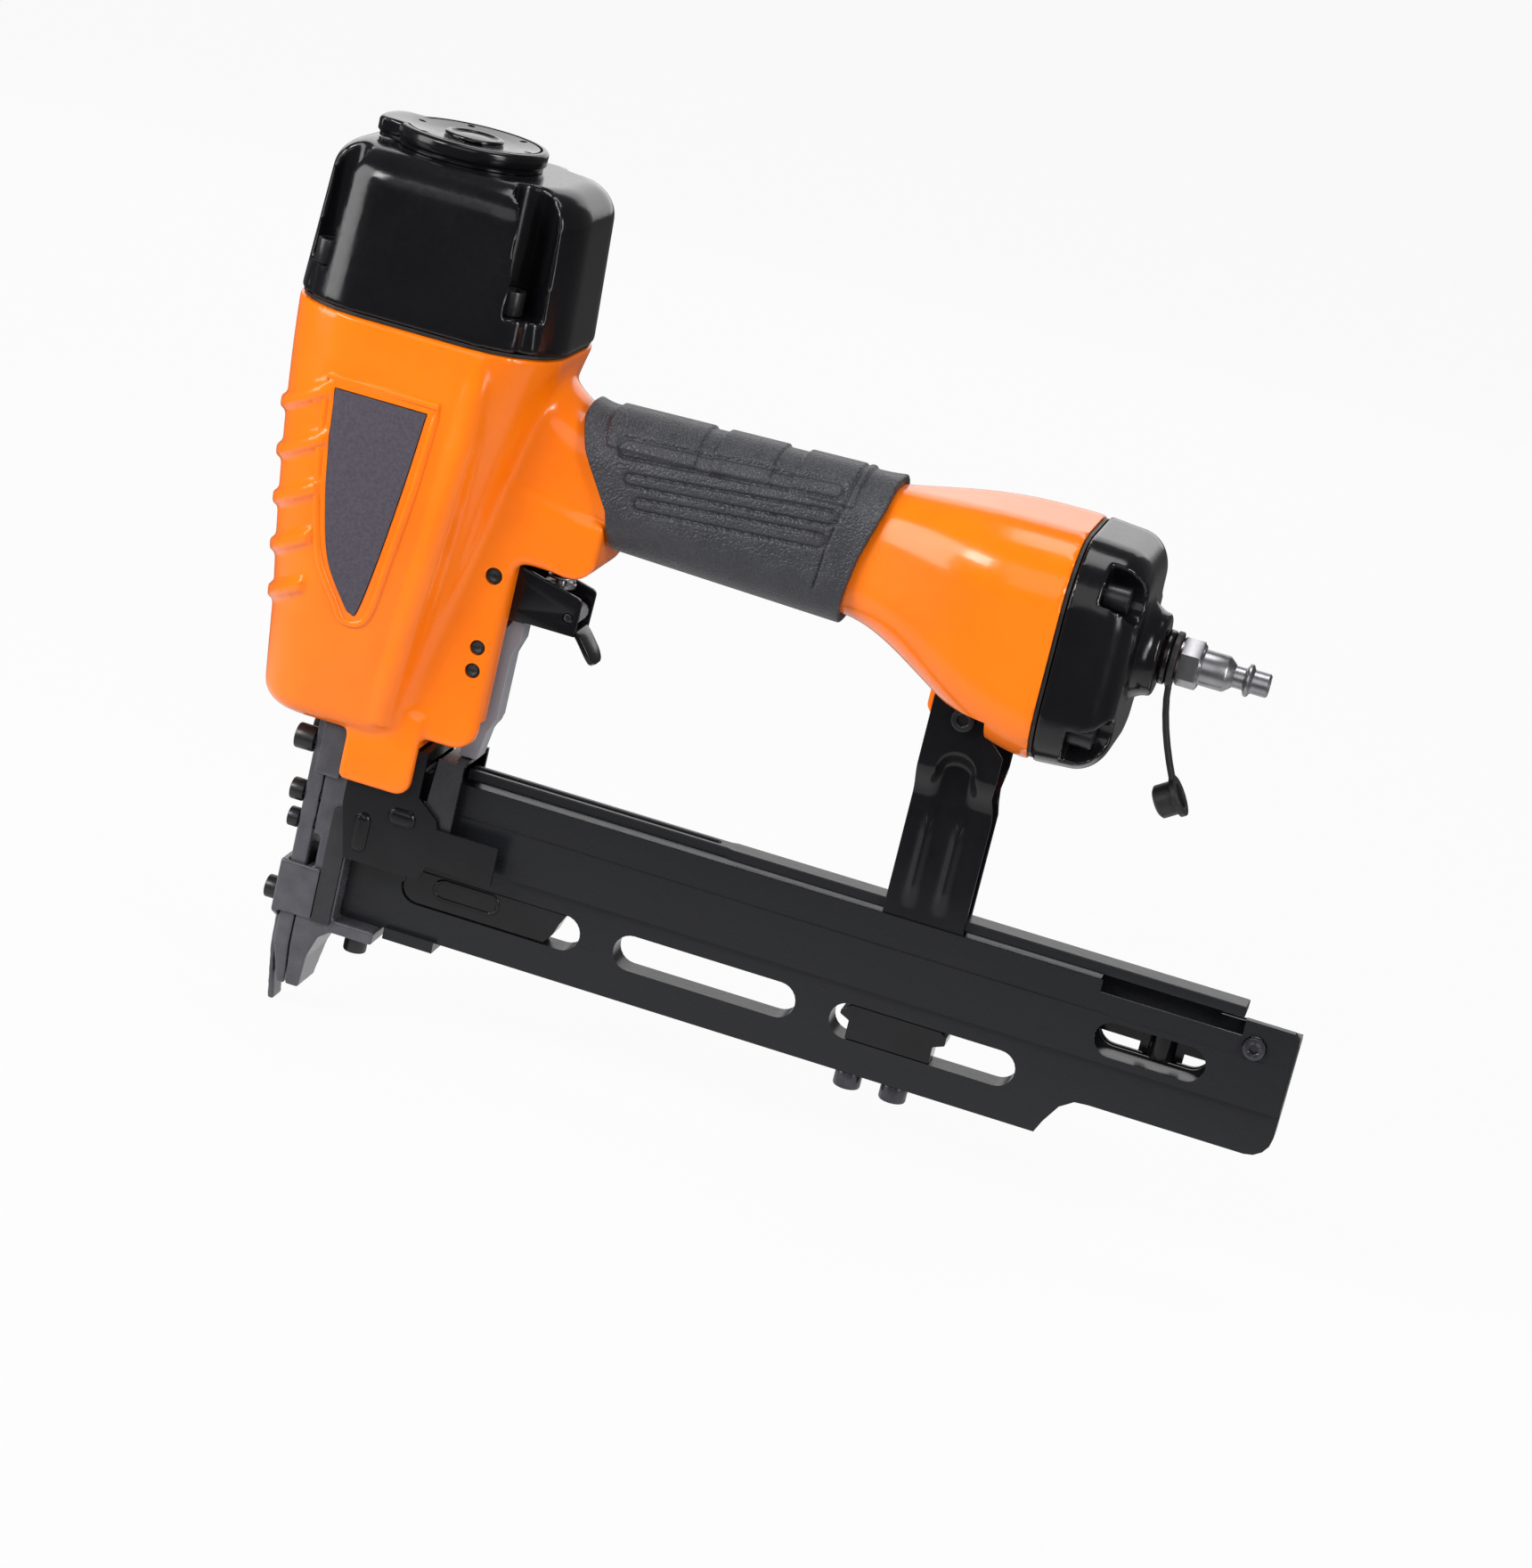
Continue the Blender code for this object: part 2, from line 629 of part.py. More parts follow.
# The shield outline of the side pad, grown by a margin.
def pad_outline(margin):
    middle = (PAD_FRONT + PAD_REAR) / 2 + 2
    bulge = PAD_FRONT + PAD_BULGE
    drop = PAD_TOP - PAD_TIP
    outline = [(PAD_REAR + margin, PAD_TOP + margin), (PAD_FRONT - margin, PAD_TOP + margin)]
    outline += [(PAD_FRONT + 1.2 - margin, PAD_TOP - 0.25 * drop), (bulge - margin, PAD_TOP - 0.52 * drop)]
    outline += [(bulge + 4 - margin, PAD_TOP - 0.78 * drop), (middle - 2.6 - margin, PAD_TIP + 2.5)]
    outline += [(middle - margin / 2, PAD_TIP - margin), (middle + 2.2 + margin,
                                                          PAD_TIP + 1.5 - margin / 2)]
    outline += [(middle + 6.6 + margin, PAD_TOP - 0.7 * drop),
                (PAD_REAR - 3 + margin, PAD_TOP - 0.34 * drop)]
    return outline


def rib_form():
    ribs = []
    for i in range(RIB_COUNT):
        low = RIB_TOP_Z - i * RIB_PITCH - RIB_HEIGHT / 2
        front = BARREL_TOP_FRONT - 8
        climb = (RIB_END - front) * RIB_SLOPE
        outline = [(front, low), (RIB_END, low + climb)]
        outline += [(RIB_END, low + climb + RIB_HEIGHT), (front, low + RIB_HEIGHT)]
        rib = prism(f"rib_form_{i + 1}", outline, "Y", -BARREL_TOP_HALF, BARREL_TOP_HALF)
        keep(rib, barrel_form(f"rib_limit_{i + 1}", RIB_RISE))
        ribs.append(rib)
    return ribs


def housing_cutters():
    chamber = [(CYLINDER_BORE, CYLINDER_FLOOR), (CYLINDER_BORE, CHAMBER_FLOOR)]
    chamber += [(CHAMBER_BORE, CHAMBER_FLOOR + 4), (CHAMBER_BORE, BARREL_TOP + 5)]
    half_slot = CHANNEL_DEPTH / 2 + SEAT_GAP
    cutters = [
        turned("chamber_cut", chamber, "Z", (0, 0)),
        box("blade_cut", (-half_slot, -CHANNEL_WIDTH / 2 - RUN_GAP, BARREL_FOOT - 9),
            (half_slot, CHANNEL_WIDTH / 2 + RUN_GAP, CYLINDER_FLOOR + 2)),
        rod("airway_cut", AIRWAY_RADIUS, "X", (0, (HANDLE_LOW + HANDLE_HIGH) / 2), 18, BELL_END - 20),
        handle_form("bell_cut", -BELL_WALL, BELL_END - 40, BELL_END + 6),
        rod("valve_cut", VALVE_RADIUS + SEAT_GAP, "Z", (VALVE_X, 0), TRIGGER_ROOF - 6,
            TRIGGER_ROOF + VALVE_HEIGHT, None, ROUND_SIDES),
        box("trigger_cut", (TRIGGER_PIVOT_X - 6.5, -TRIGGER_SLOT_HALF, BARREL_FOOT - 5),
            (WEB_REAR + 9, TRIGGER_SLOT_HALF, TRIGGER_ROOF - SEAT_GAP)),
        box("yoke_cut", (34, -WIDE_SLOT_HALF, BARREL_FOOT - 6),
            (WEB_REAR + 10, WIDE_SLOT_HALF, BARREL_FOOT + 15)),
        box("tongue_cut", (-1, -TONGUE_IN, TONGUE_LOW - 8), (36, TONGUE_IN, BARREL_FOOT + 0.7)),
        rod("trigger_pin_cut", TRIGGER_PIN_RADIUS + SEAT_GAP, "Y", (TRIGGER_PIVOT_X, TRIGGER_PIVOT_Z), -30,
            30),
        rod("low_pin_cut", GUIDE_PIN_RADIUS + SEAT_GAP, "Y", (GUIDE_PIN_X, GUIDE_PIN_LOW), -30, 30),
        rod("high_pin_cut", GUIDE_PIN_RADIUS + SEAT_GAP, "Y", (GUIDE_PIN_X, GUIDE_PIN_HIGH), -30, 30),
        rod("strut_screw_cut", STRUT_SCREW_RADIUS + SEAT_GAP, "Y", (STRUT_SCREW_X, STRUT_SCREW_Z), -30, 30),
    ]
    for side in (-1, 1):
        near = min(side * (LUG_HALF), side * 60)
        far = max(side * (LUG_HALF), side * 60)
        cutters.append(box(f"strut_cut_{side}", (STRUT_FRONT - 8, near, 120),
                           (STRUT_TOP_REAR + 2, far, STRUT_TOP + SEAT_GAP)))
    for x, y in cap_screw_places():
        cutters.append(rod("cap_screw_cut", CAP_SCREW_SHANK + SEAT_GAP, "Z", (x, y),
                           CAP_LEDGE_Z - CAP_LEDGE - CAP_SCREW_GRIP, BARREL_TOP + 5))
    for y, z in end_screw_places():
        cutters.append(rod("end_screw_cut", CAP_SCREW_SHANK + SEAT_GAP, "X", (y, z),
                           BELL_END - CAP_SCREW_GRIP, BELL_END + 5))
    return cutters


def cap_screw_places():
    return [(x, y) for x in (-CAP_SCREW_X, CAP_SCREW_X) for y in (-CAP_SCREW_Y, CAP_SCREW_Y)]


def end_screw_places():
    return [(y, z) for z in (END_SCREW_LOW, END_SCREW_HIGH) for y in (-END_SCREW_Y, END_SCREW_Y)]


def make_housing():
    housing = barrel_form("housing", material=ORANGE)
    fuse(housing, handle_form("handle_form", 0, HANDLE_FRONT, BELL_END - 4))
    fuse(housing, web_form(), tongue_form(), lug_form(), *rib_form())
    rim = prism("pad_rim_form", pad_outline(PAD_RIM), "Y", -BARREL_TOP_HALF - 5, -BARREL_TOP_HALF + 20)
    keep(rim, barrel_form("pad_rim_limit", PAD_RIM_RISE))
    fuse(housing, rim)
    pocket = prism("pad_pocket", pad_outline(SEAT_GAP), "Y", -BARREL_TOP_HALF - 8, -BARREL_TOP_HALF + 22)
    cut(pocket, barrel_form("pad_pocket_floor", -PAD_THICK))
    cut(housing, pocket, *housing_cutters())


def make_side_pad():
    pad = prism("side_pad", pad_outline(0), "Y", -BARREL_TOP_HALF - 8, -BARREL_TOP_HALF + 21, RUBBER)
    keep(pad, barrel_form("pad_face_limit", PAD_RIM_RISE / 2))
    cut(pad, barrel_form("pad_back_limit", SEAT_GAP - PAD_THICK))


# Cap group

def cap_ring(z, inset):
    outline = rounded(BARREL_TOP_FRONT + inset, BARREL_TOP_REAR - inset, inset - BARREL_TOP_HALF,
                      BARREL_TOP_HALF - inset, BARREL_CORNER - inset * 0.6)
    return [(x, y, z) for x, y in outline]


# A round channel open towards the outer corner, for a screw at (u, v).
def channel_outline(u, v, centre_u, centre_v, radius):
    turn = math.degrees(math.atan2(v - centre_v, u - centre_u))
    reach = 30
    far_u = u + reach * math.cos(math.radians(turn))
    far_v = v + reach * math.sin(math.radians(turn))
    return arc(u, v, radius, turn + 90, turn + 270, 8) + arc(far_u, far_v, radius, turn - 90, turn + 90, 2)


def make_cap():
    shoulder = CAP_TOP - CAP_ROUND
    rings = [cap_ring(CAP_BASE, 0), cap_ring(shoulder, CAP_DRAFT)]
    for step in range(1, 5):
        turn = math.radians(90 * step / 4)
        inset = CAP_DRAFT + CAP_ROUND * (1 - math.cos(turn))
        rings.append(cap_ring(shoulder + CAP_ROUND * math.sin(turn), inset))
    cap = loft("cylinder_cap", rings, GLOSS_BLACK)
    cavity = [(CHAMBER_BORE, CAP_BASE - 5), (CHAMBER_BORE, CAP_CAVITY_TOP - 6),
              (CHAMBER_BORE - 6, CAP_CAVITY_TOP)]
    cut(cap, turned("cap_cavity", cavity, "Z", (0, 0)))
    cut(cap, rod("deflector_thread", DEFLECTOR_SCREW_RADIUS + SEAT_GAP, "Z", (0, 0), CAP_CAVITY_TOP - 4,
                 CAP_TOP + 5))
    for place in circle(0, 0, EXHAUST_CIRCLE, 4):
        cut(cap, rod("exhaust_port", EXHAUST_RADIUS, "Z", place, CAP_CAVITY_TOP - 4, CAP_TOP + 5))
    for x, y in cap_screw_places():
        outline = channel_outline(x, y, x - math.copysign(8, x), y - math.copysign(6, y),
                                  CAP_CHANNEL_RADIUS)
        cut(cap, prism("cap_channel", outline, "Z", CAP_LEDGE_Z, CAP_TOP + 5))
        cut(cap, rod("cap_hole", CAP_SCREW_SHANK + SEAT_GAP, "Z", (x, y), CAP_BASE - 5, CAP_LEDGE_Z + 1))


def make_cap_gasket():
    low = BARREL_TOP + SEAT_GAP
    gasket = loft("cap_gasket", [cap_ring(low, 0.8), cap_ring(low + GASKET_THICK, 0.8)], RUBBER)
    cut(gasket, rod("gasket_bore", CHAMBER_BORE, "Z", (0, 0), low - 4, low + 4, None, ROUND_SIDES))
    for x, y in cap_screw_places():
        cut(gasket, rod("gasket_hole", CAP_SCREW_SHANK + SEAT_GAP, "Z", (x, y), low - 4, low + 4))


def make_cap_screws():
    for i, (x, y) in enumerate(cap_screw_places()):
        grip = CAP_LEDGE + CAP_SCREW_GRIP - SEAT_GAP
        socket_screw(f"cap_screw_{i + 1}", "Z", (x, y), CAP_LEDGE_Z + SEAT_GAP, -1, CAP_SCREW_HEAD_RADIUS,
                     CAP_SCREW_HEAD, CAP_SCREW_SHANK, grip, 2.3, PHOSPHATE)


def make_deflector():
    low = DEFLECTOR_BASE
    high = low + DEFLECTOR_HEIGHT
    spread = math.degrees(math.asin(VISOR_HALF / DEFLECTOR_RADIUS))
    visor = math.degrees(math.atan2(VISOR_HALF, VISOR_REACH - 3))
    rim = arc(0, 0, DEFLECTOR_RADIUS, spread - 180, 180 - spread, 22)
    rim += [(-VISOR_REACH + 4, VISOR_HALF - 0.5)]
    rim += arc(0, 0, VISOR_REACH, 180 - visor * 0.55, 180 + visor * 0.55, 6)
    rim += [(-VISOR_REACH + 4, 0.5 - VISOR_HALF)]
    deflector = prism("exhaust_deflector", rim, "Z", low, high, GLOSS_BLACK, (0, 0, low))
    soften(deflector, 1.2)
    hollow = arc(0, 0, DEFLECTOR_RADIUS - DEFLECTOR_WALL, spread - 175, 175 - spread, 22)
    hollow += [(-VISOR_REACH - 6, VISOR_HALF - 3), (-VISOR_REACH - 6, 3 - VISOR_HALF)]
    cut(deflector, prism("deflector_hollow", hollow, "Z", low - 4, high - DEFLECTOR_WALL))
    fuse(deflector, rod("deflector_hub", DEFLECTOR_BOSS - 4, "Z", (0, 0), low, high - 1))
    cut(deflector, rod("deflector_bore", DEFLECTOR_SCREW_RADIUS + RUN_GAP, "Z", (0, 0), low - 4, high + 4))
    for i in range(6):
        turn = math.radians(60 * i + 52)
        place = (19.5 * math.cos(turn), 19.5 * math.sin(turn))
        cut(deflector, rod("deflector_vent", 1.3, "Z", place, high - DEFLECTOR_WALL - 1, high + 4))


def make_deflector_screw():
    seat = DEFLECTOR_BASE + DEFLECTOR_HEIGHT + SEAT_GAP
    top = seat + DEFLECTOR_BOSS_RISE
    profile = [(DEFLECTOR_SCREW_RADIUS, CAP_CAVITY_TOP + 1), (DEFLECTOR_SCREW_RADIUS, seat),
               (DEFLECTOR_BOSS, seat), (DEFLECTOR_BOSS, top - 0.6)]
    profile += [(DEFLECTOR_BOSS - 1.2, top), (DEFLECTOR_BOSS - 3, top), (DEFLECTOR_BOSS - 3.6, top - 0.6)]
    turned("deflector_screw", profile, "Z", (0, 0), GLOSS_BLACK)


# Cylinder group

def make_sleeve():
    low = BUMPER_TOP + SEAT_GAP
    profile = [(SLEEVE_INNER, low), (SLEEVE_OUTER, low), (SLEEVE_OUTER, SLEEVE_TOP),
               (SLEEVE_INNER, SLEEVE_TOP)]
    turned("cylinder_sleeve", profile, "Z", (0, 0), ALUMINIUM, True)


def make_bumper():
    outer = CYLINDER_BORE - SEAT_GAP
    profile = [(BUMPER_HOLE, BUMPER_LOW), (outer, BUMPER_LOW), (outer, BUMPER_TOP - 2),
               (outer - 3, BUMPER_TOP)]
    turned("bumper", profile + [(BUMPER_HOLE, BUMPER_TOP)], "Z", (0, 0), RUBBER, True)


def make_piston():
    groove = PISTON_TOP - 5
    profile = [(PISTON_RADIUS, PISTON_LOW), (PISTON_RADIUS, groove - RING_WIDTH)]
    profile += [(PISTON_RADIUS - RING_DEPTH, groove - RING_WIDTH), (PISTON_RADIUS - RING_DEPTH, groove)]
    profile += [(PISTON_RADIUS, groove), (PISTON_RADIUS, PISTON_TOP)]
    turned("piston", profile, "Z", (0, 0), ALUMINIUM, origin=(0, 0, PISTON_LOW))
    inner = PISTON_RADIUS - RING_DEPTH + SEAT_GAP
    outer = PISTON_RADIUS + 0.15
    low = groove - RING_WIDTH + SEAT_GAP
    high = groove - SEAT_GAP
    ring = [(inner, low), (outer, low), (outer, high), (inner, high)]
    turned("piston_ring", ring, "Z", (0, 0), RUBBER, True, origin=(0, 0, PISTON_LOW))


def make_driver_blade():
    half_x = CHANNEL_DEPTH / 2 - BLADE_GAP
    half_y = CHANNEL_WIDTH / 2 - RUN_GAP
    low = COVER_LOW + BLADE_CLEAR_OF_CROWN
    high = PISTON_LOW - SEAT_GAP
    blade = box("driver_blade", (-half_x, -half_y, low), (half_x, half_y, high), STEEL, (0, 0, low))
    fuse(blade, rod("blade_head", BLADE_HEAD_RADIUS, "Z", (0, 0), high - BLADE_HEAD_LENGTH, high))


def make_head_valve():
    low = SLEEVE_TOP + SEAT_GAP
    high = low + HEAD_VALVE_HEIGHT
    outer = HEAD_VALVE_RADIUS - RUN_GAP
    lip = SLEEVE_OUTER + HEAD_VALVE_LIP
    lip_top = low + HEAD_VALVE_LIP_HEIGHT
    profile = [(SLEEVE_INNER, low), (lip, low), (lip, lip_top), (outer, lip_top + HEAD_VALVE_LIP)]
    profile += [(outer, high), (EXHAUST_CIRCLE, high), (EXHAUST_CIRCLE, low + HEAD_VALVE_FLOOR)]
    turned("head_valve", profile, "Z", (0, 0), ALUMINIUM, origin=(0, 0, low))


# Grip, end cap and air plug

def make_grip():
    grip = handle_form("handle_grip", GRIP_THICK, GRIP_TOP_FRONT - 4, GRIP_TOP_REAR + 4, RUBBER)
    rise = HANDLE_HIGH - HANDLE_LOW
    outline = [(GRIP_TOP_FRONT - 1, HANDLE_HIGH + 30), (GRIP_TOP_FRONT, HANDLE_HIGH)]
    outline += [(GRIP_TOP_FRONT + 4, HANDLE_HIGH - 0.25 * rise),
                (GRIP_LOW_FRONT - 2, HANDLE_LOW + 0.3 * rise)]
    outline += [(GRIP_LOW_FRONT, HANDLE_LOW), (GRIP_LOW_FRONT, HANDLE_LOW - 30),
                (GRIP_LOW_REAR, HANDLE_LOW - 30)]
    outline += [(GRIP_LOW_REAR, HANDLE_LOW), (GRIP_LOW_REAR + 3, HANDLE_LOW + 0.5 * rise)]
    outline += [(GRIP_TOP_REAR - 2, HANDLE_HIGH - 2), (GRIP_TOP_REAR + 1, HANDLE_HIGH + 30)]
    pads = [(0.08, 0.38), (0.43, 0.62), (0.69, 0.9)]
    length = GRIP_TOP_REAR - GRIP_TOP_FRONT
    for i, (start, stop) in enumerate(pads):
        x0 = GRIP_TOP_FRONT + start * length
        x1 = GRIP_TOP_FRONT + stop * length
        pad = handle_form(f"grip_pad_{i + 1}", GRIP_THICK + GRIP_PAD_RISE, x0, x1)
        keep(pad, box("grip_pad_limit", (x0, -HANDLE_HALF * 0.8, HANDLE_HIGH - 3),
                      (x1, HANDLE_HALF * 0.8, HANDLE_HIGH + 30)))
        fuse(grip, pad)
    keep(grip, prism("grip_ends", outline, "Y", -60, 60))
    cut(grip, handle_form("grip_core", SEAT_GAP, GRIP_TOP_FRONT - 8, GRIP_TOP_REAR + 8))


def end_ring(x, inset):
    ring = rounded(inset - BELL_HALF, BELL_HALF - inset, BELL_LOW + inset, BELL_HIGH - inset,
                   BELL_CORNER - inset * 0.5)
    return [(x, y, z) for y, z in ring]


def make_end_cap():
    shoulder = END_CAP_REAR - END_CAP_ROUND
    rings = [end_ring(END_CAP_FRONT, 0), end_ring(shoulder, 0.8)]
    for step in range(1, 5):
        turn = math.radians(90 * step / 4)
        rings.append(end_ring(shoulder + END_CAP_ROUND * math.sin(turn),
                              0.8 + END_CAP_ROUND * (1 - math.cos(turn))))
    cap = loft("end_cap", rings, GLOSS_BLACK)
    boss = [(INLET_BOSS_RADIUS + 2, END_CAP_REAR - 4), (INLET_BOSS_RADIUS, BOSS_END - 1),
            (INLET_BOSS_RADIUS - 1, BOSS_END)]
    fuse(cap, turned("inlet_boss", boss, "X", (0, AIR_LINE_Z)))
    hollow = [end_ring(END_CAP_FRONT - 5, BELL_WALL + 2), end_ring(END_CAP_REAR - 9, BELL_WALL + 2)]
    cut(cap, loft("end_cap_hollow", hollow))
    cut(cap, rod("inlet_bore", PLUG_THREAD_RADIUS + SEAT_GAP, "X", (0, AIR_LINE_Z), END_CAP_REAR - 14,
                 BOSS_END + 4,
                 None, ROUND_SIDES))
    middle = (BELL_LOW + BELL_HIGH) / 2
    for y, z in end_screw_places():
        outline = channel_outline(y, z, y - math.copysign(8, y), z - math.copysign(8, z - middle),
                                  END_CHANNEL_RADIUS)
        cut(cap, prism("end_channel", outline, "X", END_CAP_FRONT + END_LEDGE, END_CAP_REAR + 5))
        cut(cap, rod("end_hole", CAP_SCREW_SHANK + SEAT_GAP, "X", (y, z), END_CAP_FRONT - 5,
                     END_CAP_FRONT + END_LEDGE + 1))


def make_end_gasket():
    low = BELL_END + SEAT_GAP
    gasket = loft("end_cap_gasket", [end_ring(low, 0.8), end_ring(low + GASKET_THICK, 0.8)], RUBBER)
    cut(gasket, loft("end_gasket_bore", [end_ring(low - 4, BELL_WALL), end_ring(low + 4, BELL_WALL)]))
    for y, z in end_screw_places():
        cut(gasket, rod("end_gasket_hole", CAP_SCREW_SHANK + SEAT_GAP, "X", (y, z), low - 4, low + 4))


def make_end_screws():
    for i, (y, z) in enumerate(end_screw_places()):
        seat = END_CAP_FRONT + END_LEDGE + SEAT_GAP
        socket_screw(f"end_cap_screw_{i + 1}", "X", (y, z), seat, -1, CAP_SCREW_HEAD_RADIUS, CAP_SCREW_HEAD,
                     CAP_SCREW_SHANK, END_LEDGE + CAP_SCREW_GRIP - SEAT_GAP, 2.3, PHOSPHATE)


def make_air_plug():
    body = HEX_START + PLUG_HEX_LENGTH
    neck = body + PLUG_BODY_LENGTH
    ridge = neck + PLUG_NECK_LENGTH
    nose = ridge + PLUG_RIDGE_LENGTH
    tip = nose + PLUG_NOSE_LENGTH
    thread = PLUG_THREAD_RADIUS
    profile = [(PLUG_BORE, END_CAP_REAR - 8), (thread, END_CAP_REAR - 8), (thread, body - 1)]
    profile += [(PLUG_BODY_RADIUS, body), (PLUG_BODY_RADIUS, neck - 2), (PLUG_NECK_RADIUS, neck)]
    profile += [(PLUG_NECK_RADIUS, ridge), (PLUG_RIDGE_RADIUS, ridge + 0.8),
                (PLUG_RIDGE_RADIUS, nose - 0.8)]
    profile += [(PLUG_NOSE_RADIUS, nose), (PLUG_NOSE_RADIUS, tip - 0.6), (PLUG_NOSE_RADIUS - 0.6, tip)]
    profile += [(PLUG_BORE, tip)]
    plug = turned("air_plug", profile, "X", (0, AIR_LINE_Z), STEEL, True)
    corner = PLUG_HEX_FLATS / math.sqrt(3)
    hexagon = prism("plug_hex", circle(0, AIR_LINE_Z, corner, 6), "X", HEX_START, body)
    cut(hexagon, rod("hex_bore", thread - 0.4, "X", (0, AIR_LINE_Z), HEX_START - 2, body + 2, None,
                     ROUND_SIDES))
    fuse(plug, hexagon)
    low = BOSS_END + SEAT_GAP
    inner = thread + SEAT_GAP
    collar = [(inner, low), (COLLAR_RADIUS, low), (COLLAR_RADIUS, COLLAR_END), (inner, COLLAR_END)]
    turned("plug_collar", collar, "X", (0, AIR_LINE_Z), GLOSS_BLACK, True)


# One moulded piece: ring on the plug's neck, hanging strap and cup.
def make_dust_cap():
    low = COLLAR_END + SEAT_GAP
    high = low + STRAP_RING_THICK
    inner = PLUG_THREAD_RADIUS + SEAT_GAP
    ring = [(inner, low), (STRAP_RING_RADIUS, low), (STRAP_RING_RADIUS, high), (inner, high)]
    axis = (0, AIR_LINE_Z)
    cap = turned("dust_cap", ring, "X", axis, RUBBER, True, origin=(low, 0, AIR_LINE_Z))
    start = AIR_LINE_Z - STRAP_RING_RADIUS + 1.2
    middle = (low + high) / 2
    spine = []
    for i in range(7):
        share = i / 6
        spine.append((middle + STRAP_LEAN * share**1.6, start - STRAP_DROP * share))
    half = STRAP_THICK / 2
    outline = [(x - half, z) for x, z in spine] + [(x + half, z) for x, z in reversed(spine)]
    fuse(cap, prism("dust_strap", outline, "Y", -STRAP_WIDTH / 2, STRAP_WIDTH / 2))
    cup = [(DUST_CUP_RADIUS - 1.4, -DUST_CUP_DEPTH / 2), (DUST_CUP_RADIUS, -DUST_CUP_DEPTH / 2 + 1)]
    cup += [(DUST_CUP_RADIUS, DUST_CUP_DEPTH / 2 - 2), (DUST_FLANGE_RADIUS, DUST_CUP_DEPTH / 2 - 2)]
    cup += [(DUST_FLANGE_RADIUS, DUST_CUP_DEPTH / 2), (DUST_CUP_RADIUS - 1.4, DUST_CUP_DEPTH / 2)]
    cup += [(DUST_CUP_RADIUS - 1.4, -DUST_CUP_DEPTH / 2 + 1.6)]
    shell = turned("dust_cup", cup, "X", (0, 0))
    tilt = math.radians(DUST_CUP_TILT)
    along = DUST_CUP_DEPTH / 2 - 1
    across = DUST_FLANGE_RADIUS - 0.8
    end_x, end_z = spine[-1]
    cup_x = end_x - along * math.cos(tilt) + across * math.sin(tilt)
    cup_z = end_z - along * math.sin(tilt) - across * math.cos(tilt)
    shell.location = (cup_x * MM, 0, cup_z * MM)
    shell.rotation_euler = (0, -tilt, 0)
    fuse(cap, shell)


# Trigger group

def make_trigger():
    pivot = (TRIGGER_PIVOT_X, TRIGGER_PIVOT_Z)
    ear = TRIGGER_PIN_RADIUS + 1.9
    outline = arc(*pivot, ear, 80, 215, 6)
    outline += [(pivot[0] + 4.5, TRIGGER_LOW + 1.6), (pivot[0] + 7, TRIGGER_LOW)]
    outline += [(TRIGGER_REAR - 0.2, TRIGGER_LOW), (TRIGGER_REAR, pivot[1] - 3.5),
                (TRIGGER_REAR - 1, pivot[1] - 1.2)]
    outline += [(pivot[0] + 7.5, pivot[1] + ear - 1)]
    pivot_place = (TRIGGER_PIVOT_X, 0, TRIGGER_PIVOT_Z)
    inner = TRIGGER_HALF - TRIGGER_SHEET
    trigger = prism("trigger", outline, "Y", -TRIGGER_HALF, -inner, GLOSS_BLACK, pivot_place)
    far = prism("trigger_far_side", outline, "Y", inner, TRIGGER_HALF)
    floor = box("trigger_floor", (TRIGGER_PIVOT_X + 13.5, -TRIGGER_HALF + 0.2, TRIGGER_LOW),
                (TRIGGER_REAR - 0.4, TRIGGER_HALF - 0.2, TRIGGER_LOW + TRIGGER_SHEET))
    tongue = [(TRIGGER_REAR - 3, TRIGGER_LOW + 1.4), (TRIGGER_REAR, TRIGGER_LOW + 1.4),
              (TRIGGER_REAR + 3.6, TRIGGER_LOW - 1.6)]
    tongue += [(TRIGGER_REAR + 8, TRIGGER_LOW - 6.2), (TRIGGER_REAR + 8.1, TRIGGER_LOW - 8.4)]
    tongue += [(TRIGGER_REAR + 6, TRIGGER_LOW - 10.6), (TRIGGER_REAR + 3.4, TRIGGER_LOW - 7.2)]
    tongue += [(TRIGGER_REAR + 0.2, TRIGGER_LOW - 2.4), (TRIGGER_REAR - 3, TRIGGER_LOW + 0.2)]
    hook = prism("trigger_hook", tongue, "Y", -TRIGGER_HALF + 2.5, TRIGGER_HALF - 2.5)
    fuse(trigger, floor, far, hook)
    cut(trigger, rod("trigger_bore", TRIGGER_PIN_RADIUS + RUN_GAP / 2, "Y", pivot, -20, 20))
    cut(trigger, rod("lever_bore", LEVER_PIN_RADIUS + SEAT_GAP, "Y", (LEVER_PIVOT_X, LEVER_PIVOT_Z), -20,
                     20))


def make_pins():
    end = WEB_HALF - 0.4
    rod("trigger_pin", TRIGGER_PIN_RADIUS, "Y", (TRIGGER_PIVOT_X, TRIGGER_PIVOT_Z), -end, end, PHOSPHATE)
    rod("guide_pin_low", GUIDE_PIN_RADIUS, "Y", (GUIDE_PIN_X, GUIDE_PIN_LOW), -end, end, PHOSPHATE)
    rod("guide_pin_high", GUIDE_PIN_RADIUS, "Y", (GUIDE_PIN_X, GUIDE_PIN_HIGH), -end, end, PHOSPHATE)
    reach = TRIGGER_HALF + 0.1
    rod("lever_pin", LEVER_PIN_RADIUS, "Y", (LEVER_PIVOT_X, LEVER_PIVOT_Z), -reach, reach, PHOSPHATE)


